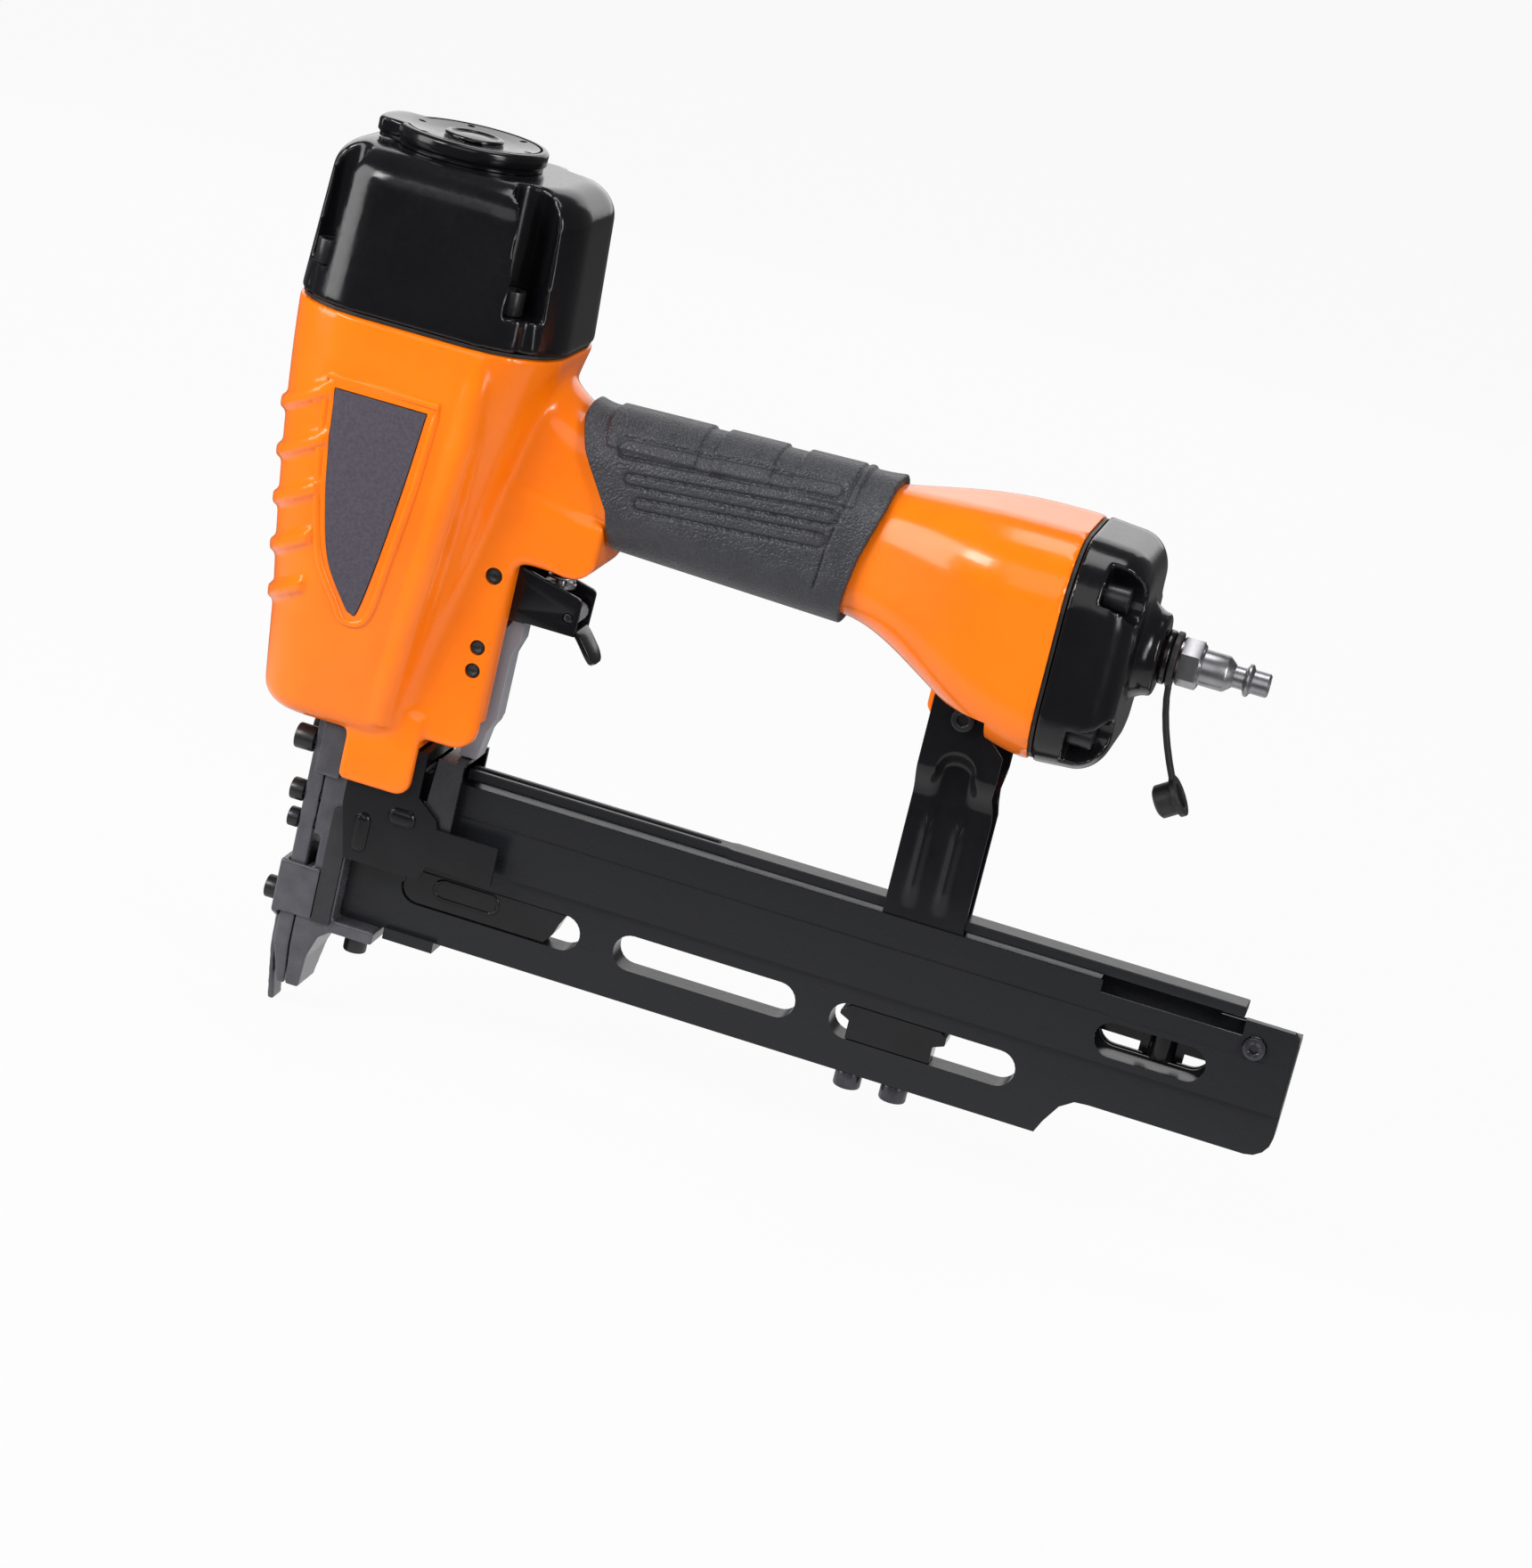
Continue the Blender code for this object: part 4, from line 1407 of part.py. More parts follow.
make_housing()
make_side_pad()
make_cap()
make_cap_gasket()
make_cap_screws()
make_deflector()
make_deflector_screw()
make_sleeve()
make_bumper()
make_piston()
make_driver_blade()
make_head_valve()
make_grip()
make_end_cap()
make_end_gasket()
make_end_screws()
make_air_plug()
make_dust_cap()
make_trigger()
make_pins()
make_trip_lever()
make_valve()
make_valve_spring()
make_safety_arm()
make_safety_yoke()
make_contact_foot()
make_foot_bolt()
make_nose_body()
make_nose_plate()
make_nose_bolts()
make_nose_bracket()
make_magazine()
make_magazine_cover()
make_pusher()
make_latch_spring()
make_latch_screw()
make_magazine_bolt()
make_strut()
make_strut_foot()
make_front_filler()
make_strut_screw()
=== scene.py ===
from functools import partial
from math import asin, atan2, copysign, cos, degrees, exp, hypot, pi, radians, sin, sqrt

import bmesh
import bpy
from mathutils import Matrix, Vector


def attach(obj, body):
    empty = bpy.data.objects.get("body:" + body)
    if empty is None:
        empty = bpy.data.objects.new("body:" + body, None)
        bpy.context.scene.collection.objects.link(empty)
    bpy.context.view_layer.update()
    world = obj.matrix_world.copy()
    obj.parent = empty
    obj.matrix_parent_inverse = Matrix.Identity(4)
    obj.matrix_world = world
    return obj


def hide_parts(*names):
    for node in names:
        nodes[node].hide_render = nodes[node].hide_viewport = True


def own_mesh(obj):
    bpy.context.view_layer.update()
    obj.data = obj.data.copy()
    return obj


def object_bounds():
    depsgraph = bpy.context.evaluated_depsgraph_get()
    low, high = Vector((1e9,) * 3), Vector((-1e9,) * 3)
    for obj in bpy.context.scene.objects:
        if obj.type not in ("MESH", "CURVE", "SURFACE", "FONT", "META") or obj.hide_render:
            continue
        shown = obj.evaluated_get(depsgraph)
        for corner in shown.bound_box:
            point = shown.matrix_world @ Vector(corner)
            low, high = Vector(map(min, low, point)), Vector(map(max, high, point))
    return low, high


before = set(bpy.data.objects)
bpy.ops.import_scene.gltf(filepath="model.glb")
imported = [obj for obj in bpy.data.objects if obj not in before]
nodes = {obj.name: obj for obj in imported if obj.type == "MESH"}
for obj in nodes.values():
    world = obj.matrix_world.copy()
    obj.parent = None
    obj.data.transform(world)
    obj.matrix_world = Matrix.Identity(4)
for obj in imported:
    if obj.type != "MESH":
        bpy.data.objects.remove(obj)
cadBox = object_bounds()
driveLine = 2.4  # millimetres from the drive line to the frame's origin
toFrame = Matrix.Translation((-driveLine / 1000, 0, 0)) @ Matrix.Scale(0.001, 4)  # millimetres into the frame
print("frame loaded:", len(nodes), "nodes")


def placed(name, data):
    made = bpy.data.objects.new(name, data)
    bpy.context.scene.collection.objects.link(made)
    return made


def meshObject(name, bm):
    mesh = bpy.data.meshes.new(name)
    bm.to_mesh(mesh)
    bm.free()
    return placed(name, mesh)


def feed(tree, node, inputs):  # an input takes a value, an output, or a node for its first output
    for place, value in inputs.items():
        if isinstance(value, bpy.types.Node):
            value = value.outputs[0]
        if isinstance(value, bpy.types.NodeSocket):
            tree.links.new(value, node.inputs[place])
        else:
            node.inputs[place].default_value = value


def addNode(tree, kind, inputs, **settings):
    node = tree.nodes.new("ShaderNode" + kind)
    for key, value in settings.items():
        setattr(node, key, value)
    feed(tree, node, inputs)
    return node


# camera, floor and light

shot = dict(
    turn=10.6, rise=15.0, roll=13.6, focal=4503, away=1.3128, sensor=36, target=(0.1348, 0.0, 0.1703),
    centre=(880, 700), size=(1720, 1760))


def aimCamera():
    turn, rise, roll = (radians(shot[k]) for k in ("turn", "rise", "roll"))
    back = Vector((sin(turn) * cos(rise), -cos(turn) * cos(rise), sin(rise)))
    right = Vector((cos(turn), sin(turn), 0))
    up = back.cross(right)
    across = cos(roll) * right + sin(roll) * up
    upward = cos(roll) * up - sin(roll) * right
    wide, tall = shot["size"]
    lens = bpy.data.cameras.new("shotCamera")
    lens.sensor_width = shot["sensor"]
    lens.lens = shot["focal"] * shot["sensor"] / tall
    lens.shift_x = (wide / 2 - shot["centre"][0]) / tall
    lens.shift_y = (shot["centre"][1] - tall / 2) / tall
    camera = placed("shotCamera", lens)
    turned = Matrix((across, upward, back)).transposed().to_4x4()
    camera.matrix_world = Matrix.Translation(Vector(shot["target"]) + back * shot["away"]) @ turned
    bpy.context.scene.camera = camera


studio = dict(
    floorColour=(0.55, 0.55, 0.55), floorSize=60, floorGap=0.0005, world=0.14, white=0.94, pool=(0.17, 0.40),
    poolEdge=0.10, poolShift=(-0.08, 0, 0), poolShape=(0.6, 1, 0), aim=(0.135, 0, 0.15),
    lamps=[  # name, place, size and watts
        ("keyLamp", (-0.75, -1.05, 0.95), (0.4, 0.4), 10.0),
        ("leftBox", (-0.85, -0.5, 0.47), (0.5, 0.9), 8.0),
        ("sideLamp", (1.15, -0.8, 0.75), (0.3, 0.3), 4.0),
        ("rightBox", (1.05, -0.6, 0.47), (0.3, 0.9), 5.0),
        ("topLamp", (0.15, 0.1, 1.35), (0.6, 0.6), 5.5),
        ("backLamp", (-0.2, 1.5, 0.75), (1.8, 1.1), 8.0),
        ("fillLamp", (0.1, -1.7, 0.95), (1.2, 1.2), 6.0)])


def lightPool(add, path):  # reflections find the floor white near the tool and dim further out
    near, edge = studio["pool"]
    spot = add("TexCoord", {}).outputs["Object"]
    lay = add("Mapping", {"Vector": spot, "Location": studio["poolShift"], "Scale": studio["poolShape"]})
    far = add("VectorMath", {0: lay}, operation="LENGTH").outputs["Value"]
    span = {"From Min": near, "From Max": edge, "To Min": 0, "To Max": 1 - studio["poolEdge"]}
    fade = add("MapRange", {"Value": far, **span}, interpolation_type="SMOOTHSTEP")
    loss = add("Math", {0: fade, 1: path.outputs["Is Glossy Ray"]}, operation="MULTIPLY")
    return add("Math", {0: 1.0, 1: loss}, operation="SUBTRACT")


def setLamps():
    for name, place, size, power in studio["lamps"]:
        lamp = bpy.data.lights.new(name, "AREA")
        lamp.shape = "RECTANGLE"
        lamp.size, lamp.size_y = size
        lamp.energy = power
        stand = placed(name, lamp)
        stand.location = place
        stand.rotation_euler = (Vector(studio["aim"]) - Vector(place)).to_track_quat("-Z", "Y").to_euler()


def setStudio():
    setLamps()
    world = bpy.data.worlds.new("softRoom")
    world.use_nodes = True
    bpy.context.scene.world = world
    sky = world.node_tree
    feed(sky, sky.nodes["Background"], {"Color": (1, 1, 1, 1), "Strength": studio["world"]})
    bm = bmesh.new()
    bmesh.ops.create_grid(bm, x_segments=1, y_segments=1, size=studio["floorSize"])
    bmesh.ops.translate(bm, verts=bm.verts, vec=(0, 0, cadBox[0].z - studio["floorGap"]))
    floor = meshObject("paleFloor", bm)
    paper = bpy.data.materials.new("palePaper")
    paper.use_nodes = True
    tree = paper.node_tree
    shader = tree.nodes["Principled BSDF"]
    colour = (*studio["floorColour"], 1)
    feed(tree, shader, {"Base Color": colour, "Roughness": 0.9, "Specular IOR Level": 0.1})
    add = partial(addNode, tree)
    path = add("LightPath", {})
    glow = add("Emission", {"Color": lightPool(add, path), "Strength": 1.0})
    seen = path.outputs["Is Camera Ray"]
    for ray in ("Is Glossy Ray", "Is Transmission Ray"):  # metal shows the pool of white floor too
        seen = add("Math", {0: seen, 1: path.outputs[ray]})
    share = add("Math", {0: seen, 1: studio["white"]}, operation="MULTIPLY")  # the rest keeps the shadow
    blend = add("MixShader", {"Fac": share, 1: shader, 2: glow})
    feed(tree, tree.nodes["Material Output"], {"Surface": blend})
    floor.data.materials.append(paper)
    bpy.context.scene.view_settings.view_transform = "Standard"


aimCamera()
setStudio()
print("camera, floor and lamps set")

# finishes, all on Object coordinates


def makeFinish(name, dark, light, rough, metallic=0.0, patch=60, grain=900, depth=0.00001,
               stretch=(1, 1, 1), coat=0.0, specular=0.5, cells=0, cellDepth=0.0):
    finish = bpy.data.materials.new(name)
    finish.use_nodes = True
    tree = finish.node_tree
    add = partial(addNode, tree)
    low, high = 0.3, 0.7  # the part of the noise that is used
    where = add("Mapping", {"Vector": add("TexCoord", {}).outputs["Object"], "Scale": stretch})
    cloud = add("TexNoise", {"Vector": where, "Scale": patch, "Detail": 4})  # slow patches of colour
    fine = add("TexNoise", {"Vector": where, "Scale": grain, "Detail": 5})  # the surface's own grain
    ramp = add("ValToRGB", {"Fac": cloud})
    for end, (place, colour) in enumerate(((low, dark), (high, light))):
        ramp.color_ramp.elements[end].position = place
        ramp.color_ramp.elements[end].color = (*colour, 1)
    span = {"From Min": low, "From Max": high, "To Min": rough[0], "To Max": rough[1]}
    gloss = add("MapRange", {"Value": fine, **span})
    bump = add("Bump", {"Height": fine, "Strength": 1.0, "Distance": depth})
    if cells:  # pebbled leather cells over the grain
        warp = add("TexNoise", {"Vector": where, "Scale": cells * 0.6, "Detail": 2}).outputs["Color"]
        drift = add("VectorMath", {0: warp, 1: (0.0011, 0.0011, 0.0011), 2: where}, operation="MULTIPLY_ADD")
        pebble = add("TexVoronoi", {"Vector": drift, "Scale": cells, "Smoothness": 0.35}, feature="SMOOTH_F1")
        bump = add("Bump", {"Height": pebble, "Normal": bump, "Strength": 1.0, "Distance": cellDepth},
                   invert=True)
    feed(tree, tree.nodes["Principled BSDF"],
         {"Base Color": ramp, "Roughness": gloss, "Normal": bump, "Metallic": metallic, "Coat Weight": coat,
          "Coat Roughness": 0.06, "Specular IOR Level": specular})
    return finish


orangePaint = makeFinish(
    "orangePaint", (0.92, 0.172, 0.002), (0.96, 0.196, 0.003), (0.17, 0.25), patch=35, grain=300,
    depth=0.000006, coat=0.15, specular=0.35)
glossBlack = makeFinish(
    "glossBlack", (0.004, 0.004, 0.005), (0.006, 0.006, 0.0075), (0.14, 0.21), patch=45, grain=500,
    depth=0.000006, specular=0.36)
stampedBlack = makeFinish(
    "stampedBlack", (0.004, 0.004, 0.005), (0.006, 0.006, 0.0075), (0.13, 0.20), patch=70, grain=380,
    specular=0.3)
satinBlack = makeFinish(
    "satinBlack", (0.008, 0.0084, 0.0102), (0.011, 0.0115, 0.0137), (0.24, 0.33), patch=30, grain=1800,
    depth=0.000002, stretch=(0.12, 1, 1), specular=0.3)
darkPhosphate = makeFinish(
    "darkPhosphate", (0.068, 0.067, 0.078), (0.098, 0.097, 0.111), (0.24, 0.35), 0.35, patch=160,
    grain=2400, depth=0.00002)
gripRubber = makeFinish(
    "gripRubber", (0.024, 0.025, 0.031), (0.035, 0.036, 0.044), (0.36, 0.50), patch=120, grain=3800,
    depth=0.00004, cells=1250, cellDepth=0.00032)
padGrain = makeFinish(
    "padGrain", (0.051, 0.044, 0.059), (0.075, 0.066, 0.086), (0.50, 0.70), patch=900, grain=3600,
    depth=0.00009, specular=0.35)
softRubber = makeFinish(
    "softRubber", (0.012, 0.012, 0.013), (0.019, 0.019, 0.021), (0.42, 0.55), patch=90, grain=1500,
    depth=0.00002, specular=0.4)
plugSteel = makeFinish(
    "plugSteel", (0.27, 0.265, 0.28), (0.34, 0.335, 0.35), (0.28, 0.38), 1.0, patch=80, grain=700,
    depth=0.000002, stretch=(6, 1, 1))
armSteel = makeFinish(
    "armSteel", (0.30, 0.30, 0.34), (0.37, 0.37, 0.41), (0.42, 0.55), 0.45, patch=90, grain=1400,
    stretch=(1, 1, 0.2))
boltSteel = makeFinish(
    "boltSteel", (0.04, 0.04, 0.047), (0.07, 0.07, 0.079), (0.20, 0.30), 0.7, patch=200, grain=1800)
blackScrew = makeFinish(
    "blackScrew", (0.010, 0.010, 0.011), (0.018, 0.017, 0.020), (0.26, 0.38), 0.2, patch=200, grain=1800)
yokeBlack = makeFinish(
    "yokeBlack", (0.014, 0.014, 0.017), (0.022, 0.022, 0.026), (0.22, 0.32), 0.1, patch=140, grain=900)
innerAluminium = makeFinish(
    "innerAluminium", (0.46, 0.46, 0.48), (0.56, 0.56, 0.58), (0.32, 0.44), 1.0, patch=80, grain=900,
    stretch=(1, 1, 5))
threadSealant = makeFinish(
    "threadSealant", (0.16, 0.045, 0.040), (0.26, 0.075, 0.065), (0.40, 0.6), patch=500, grain=1500,
    depth=0.00006)
print("finishes made")

# mesh helpers, all in drive-line millimetres until a piece is placed


def mix(low, high, share):
    return low + (high - low) * share


def clamp(share):
    return min(max(share, 0.0), 1.0)


def ease(share, power):
    return 1 - (1 - clamp(share)) ** power


def smoothStep(low, high, value):
    share = clamp((value - low) / (high - low))
    return share * share * (3 - 2 * share)


def along(points, z):  # value at z on a line given as (z, value) places
    for (z0, x0), (z1, x1) in zip(points, points[1:]):
        if z <= z1:
            return mix(x0, x1, clamp((z - z0) / (z1 - z0)))
    return points[-1][1]


def arcPoints(u, v, radius, start, stop, steps):
    turns = [radians(mix(start, stop, i / steps)) for i in range(steps + 1)]
    return [(u + radius * cos(t), v + radius * sin(t)) for t in turns]


def roundRing(u0, u1, v0, v1, corner, steps=14):
    corner = min(corner, (u1 - u0) / 2 - 0.05, (v1 - v0) / 2 - 0.05)
    left, right, low, high = u0 + corner, u1 - corner, v0 + corner, v1 - corner
    ring = []
    for quarter, (u, v) in enumerate(((right, high), (left, high), (left, low), (right, low))):
        ring += arcPoints(u, v, corner, 90 * quarter, 90 * quarter + 90, steps)
    return ring


def layOn(axis, u, v, w):
    return {"X": (w, u, v), "Y": (u, w, v), "Z": (u, v, w)}[axis]


def loftFrom(rings):
    bm = bmesh.new()
    face = bm.faces.new([bm.verts.new(p) for p in rings[0]])
    inner = []
    for ring in rings[1:]:
        grown = bmesh.ops.extrude_face_region(bm, geom=[face])["geom"]
        face = next(g for g in grown if isinstance(g, bmesh.types.BMFace))
        inner.append(face)
        for vert, place in zip(face.verts, ring):
            vert.co = place
    bmesh.ops.delete(bm, geom=inner[:-1], context="FACES_ONLY")
    return bm


def closedLoft(rings, merge=1e-4):  # a loft that runs back into its first ring
    bm = loftFrom(rings + [rings[0]])
    ends = [f for f in bm.faces if len(f.verts) > 4]
    bmesh.ops.delete(bm, geom=ends, context="FACES_ONLY")
    bmesh.ops.remove_doubles(bm, verts=bm.verts, dist=merge)
    return bm


def slab(outline, axis, low, high):
    return loftFrom([[layOn(axis, u, v, w) for u, v in outline] for w in (low, high)])


def roundEdges(bm, edges, offset, segments):
    bmesh.ops.bevel(bm, geom=edges, offset=offset, offset_type="OFFSET", segments=segments, profile=0.5,
                    affect="EDGES", material=-1, clamp_overlap=True)


def toObject(name, bm):
    bmesh.ops.recalc_face_normals(bm, faces=bm.faces)
    bm.transform(toFrame)
    return meshObject(name, bm)


def latheForm(profile, axis, centre, sides=64):  # (radius, place) points, some marked hex or knurl
    rings = []
    for radius, place, *shape in profile:
        ring = []
        for i in range(sides):
            turn = 2 * pi * i / sides
            reach = radius
            if "hex" in shape:
                reach = radius / cos((turn + pi / 6) % (pi / 3) - pi / 6)
            if "knurl" in shape:
                reach = radius - 0.16 * (i % 2)
            ring.append(layOn(axis, centre[0] + reach * cos(turn), centre[1] + reach * sin(turn), place))
        rings.append(ring)
    return loftFrom(rings)


def rodForm(name, radius, axis, centre, low, high, sides=48):
    return toObject(name, latheForm([(radius, low), (radius, high)], axis, centre, sides))


def boxForm(name, low, high):
    bm = bmesh.new()
    bmesh.ops.create_cube(bm, size=1)
    bmesh.ops.scale(bm, verts=bm.verts, vec=[b - a for a, b in zip(low, high)])
    bmesh.ops.translate(bm, verts=bm.verts, vec=[(a + b) / 2 for a, b in zip(low, high)])
    return toObject(name, bm)


def spinTube(profile, axis, centre, steps=64):
    bm = bmesh.new()  # a closed section turned right round, so the bore stays open
    verts = [bm.verts.new(layOn(axis, centre[0] + r, centre[1], w)) for r, w in profile]
    edges = [bm.edges.new((verts[i - 1], verts[i])) for i in range(len(verts))]
    bmesh.ops.spin(bm, geom=verts + edges, cent=layOn(axis, *centre, 0), axis=layOn(axis, 0, 0, 1),
                   angle=2 * pi, steps=steps, use_merge=True)
    bmesh.ops.remove_doubles(bm, verts=bm.verts, dist=1e-4)
    return bm


def settle(made):
    bpy.context.view_layer.update()
    graph = bpy.context.evaluated_depsgraph_get()
    baked = bpy.data.meshes.new_from_object(made.evaluated_get(graph))
    made.modifiers.clear()
    made.data = baked


def carve(made, cutters, how="DIFFERENCE"):
    for cutter in cutters:
        step = made.modifiers.new("carve", "BOOLEAN")
        step.operation = how
        step.solver = "MANIFOLD"
        step.object = cutter
    settle(made)
    for cutter in cutters:
        bpy.data.objects.remove(cutter)


def gather(name, forms):
    bm = bmesh.new()
    for form in forms:
        bm.from_mesh(form.data)
        bpy.data.objects.remove(form)
    return meshObject(name, bm)


def soften(made, rounds, group=""):
    soft = made.modifiers.new("soft", "SMOOTH")
    soft.factor = 0.5
    soft.iterations = rounds
    soft.vertex_group = group
    settle(made)


def melt(made, voxel, rounds):  # one skin over overlapping forms, with its edges eased
    skin = made.modifiers.new("skin", "REMESH")
    skin.mode = "VOXEL"
    skin.voxel_size = voxel * 0.001
    soften(made, rounds)


def relax(made, rounds, weight):  # extra smoothing where weight(x, y, z) asks for it
    group = made.vertex_groups.new(name="relax")
    for vert in made.data.vertices:
        x, y, z = vert.co * 1000
        share = weight(x + driveLine, y, z)
        if share > 0:
            group.add([vert.index], share, "REPLACE")
    soften(made, rounds, group.name)
    made.vertex_groups.clear()


def dress(made, finish, slot, *stands, body="stapler", sharp=38):
    made.data.materials.clear()
    made.data.materials.append(finish)
    made.data.shade_smooth()
    made.data.set_sharp_from_angle(angle=radians(sharp))
    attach(made, body)
    if stands:
        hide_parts(*stands)
    return made


def nodeMesh(node):
    bm = bmesh.new()
    bm.from_mesh(nodes[node].data)
    bmesh.ops.remove_doubles(bm, verts=bm.verts, dist=1e-6)
    return bm


def softCopy(name, node, finish, slot, body, width, segments=3, least=38):
    bm = nodeMesh(node)  # the CAD form with its sharp edges broken
    bmesh.ops.dissolve_limit(bm, angle_limit=radians(1.5), verts=bm.verts, edges=bm.edges)
    edges = [e for e in bm.edges if e.is_manifold and e.calc_face_angle() > radians(least)]
    roundEdges(bm, edges, width * 0.001, segments)
    made = dress(meshObject(name, bm), finish, slot, node, body=body)
    made.modifiers.new("even", "WEIGHTED_NORMAL").keep_sharp = True


def castCopy(name, node, finish, slot, body, voxel, rounds, ways=()):
    made = meshObject(name, nodeMesh(node))  # the CAD form with a forging's soft edges
    melt(made, voxel, rounds)
    if ways:
        carve(made, [boxForm("way", low, high) for low, high in ways])  # channels keep their true size
    dress(made, finish, slot, node, body=body, sharp=60)


# places that several pieces share

joinery = dict(
    triggerPin=(42.5, 162.5), leverPin=(68.0, 153.7), guidePinLow=(42.3, 129.3), guidePinHigh=(42.3, 137.4),
    strutScrew=(204.3, 160.2), strutBolts=(194.6, 210.6), airLine=195.6, screwHole=2.9,
    capScrews=[(x, y) for x in (-31.5, 31.5) for y in (-27.5, 27.5)],
    endScrews=[(y, z) for y in (-27.0, 27.0) for z in (170.5, 216.0)])

# main casting

barrel = dict(
    top=238.4, foot=97.0, topFront=-42.0, topRear=50.0, topHalf=39.0, footFront=-30.0, footRear=30.0,
    footHalf=20.5, corner=27.0, footRound=7.0)
handle = dict(
    low=182.7, high=222.0, half=16.0, corner=14.5, front=26.0, neckRise=14.0, neckStart=44.0, neckEnd=66.0,
    bellStart=155.0, bellEnd=228.4, bellLow=155.0, bellHigh=231.0, bellHalf=37.0, bellCorner=22.0,
    climb=3.0, sag=2.7)
casting = dict(
    voxel=1.0, rounds=4, ribs=5, ribTop=194.0, ribPitch=17.4, ribHeight=4.6, ribRise=1.9, ribSlope=0.62,
    ribEnd=-17.0, rimMargin=3.5, rimRadius=1.5, rimSunk=[(0, 0.55)], relax=60, ridgeRadius=6.0,
    ridge=[(29, 237), (29.2, 222), (28, 204), (24.5, 172), (20.5, 140), (16.5, 104)],
    ridgeSunk=[(104, 4.6), (125, 3.2), (205, 3.0), (225, 3.8), (237, 5.6)])
pad = dict(
    top=214.0, tip=140.5, front=-16.5, rear=15.0, bulge=3.5, thick=1.6, gap=0.3, proud=0.45, back=1.3,
    out=-47, pocketIn=-17, padIn=-18)


def barrelRing(z, grow=0.0):
    b = barrel
    share = (z - b["foot"]) / (b["top"] - b["foot"])
    front = mix(b["footFront"], b["topFront"], ease(share, 1.25))
    rear = mix(b["footRear"], b["topRear"], max(share, 0) ** 1.5)
    half = mix(b["footHalf"], b["topHalf"], ease(share, 2.0))
    above = min(z - b["foot"], b["footRound"])
    inset = b["footRound"] - sqrt(b["footRound"] ** 2 - (b["footRound"] - above) ** 2)
    grow = grow - inset
    corner = min(b["corner"], half - 2) + grow
    return [(x, y, z) for x, y in roundRing(front - grow, rear + grow, -half - grow, half + grow, corner)]


def barrelForm(name, grow=0.0):
    low, high = barrel["foot"], barrel["top"]
    steps = [0, 0.2, 0.6, 1.2, 2.2, 3.6, 5.2, 7.0] + [mix(7.0, high - low, (i + 1) / 48) for i in range(48)]
    return toObject(name, loftFrom([barrelRing(low + step, grow) for step in steps]))


def handleSection(x, grow=0.0):
    h = handle
    share = clamp((x - h["bellStart"]) / (h["bellEnd"] - h["bellStart"]))
    rise = smoothStep(0, 1, ease(share, 1.6))
    neck = clamp((h["neckEnd"] - x) / (h["neckEnd"] - h["neckStart"]))
    slope = clamp((x - h["neckEnd"]) / (h["bellStart"] - h["neckEnd"]))
    low = mix(h["low"] - h["sag"] * slope, h["bellLow"], smoothStep(0, 1, share)) - grow
    high = mix(h["high"] + h["climb"] * slope, h["bellHigh"], rise) + h["neckRise"] * neck**2 + grow
    half = mix(h["half"], h["bellHalf"], rise) + grow
    corner = mix(h["corner"], h["bellCorner"], rise) + grow
    return half, low, high, corner


def handleRing(x, grow=0.0):
    half, low, high, corner = handleSection(x, grow)
    return [(x, y, z) for y, z in roundRing(-half, half, low, high, corner)]


def padOutline(margin):
    top, tip, front, rear = (pad[key] for key in ("top", "tip", "front", "rear"))
    middle, bulge, drop = (front + rear) / 2 + 2, front + pad["bulge"], top - tip
    outline = [(front - margin, top + margin), (front + 1.2 - margin, top - 0.25 * drop),
               (bulge - margin, top - 0.52 * drop), (bulge + 4 - margin, top - 0.78 * drop),
               (middle - 2.6 - margin, tip + 2.5), (middle - margin / 2, tip - margin),
               (middle + 2.2 + margin, tip + 1.5 - margin / 2), (middle + 6.6 + margin, top - 0.7 * drop),
               (rear - 3 + margin, top - 0.34 * drop), (rear + margin, top + margin)]
    return easeLoop(outline, 7)


def easeLoop(points, steps):  # smooth run through the points, straight from the last back to the first
    ends = [(2 * points[0][0] - points[1][0], 2 * points[0][1] - points[1][1])] + points
    ends.append((2 * points[-1][0] - points[-2][0], 2 * points[-1][1] - points[-2][1]))
    run = []
    for i in range(1, len(ends) - 2):
        a, b, c, d = ends[i - 1:i + 3]
        for k in range(steps):
            t = k / steps
            run.append(tuple(b[n] + 0.5 * t * (c[n] - a[n] + t * (2 * a[n] - 5 * b[n] + 4 * c[n] - d[n]
                             + t * (3 * (b[n] - c[n]) + d[n] - a[n]))) for n in (0, 1)))
    return run + [points[-1]]


def barrelSide(x, z, grow=0.0):  # near face of the barrel at a place seen from the side
    ring = [(p[0], p[1]) for p in barrelRing(z, grow) if p[1] < 0]
    ring.sort()
    for (x0, y0), (x1, y1) in zip(ring, ring[1:]):
        if x0 <= x <= x1 and x1 > x0:
            return mix(y0, y1, (x - x0) / (x1 - x0))
    return ring[0][1] if x < ring[0][0] else ring[-1][1]


def surfaceOut(place, reach=0.5):  # way out of the barrel's near face, level
    left, right = barrelSide(place.x - reach, place.z), barrelSide(place.x + reach, place.z)
    return Vector((right - left, -2 * reach, 0)).normalized()


def beadAlong(name, path, radius, sunk, closed, sides=10):  # round bead lying on the barrel's near face
    places = [Vector((x, barrelSide(x, z), z)) for x, z in path]
    count = len(places)
    rings = []
    for i, place in enumerate(places):
        before = places[i - 1] if i or closed else place
        after = places[(i + 1) % count] if i < count - 1 or closed else place
        ahead = (after - before).normalized()
        across = ahead.cross(Vector((0, -1, 0))).normalized()
        out = across.cross(ahead)
        turns = [2 * pi * k / sides for k in range(sides)]
        place = place - surfaceOut(place) * along(sunk, place.z)
        rings.append([place + radius * (across * cos(t) + out * sin(t)) for t in turns])
    return toObject(name, closedLoft(rings) if closed else loftFrom(rings))


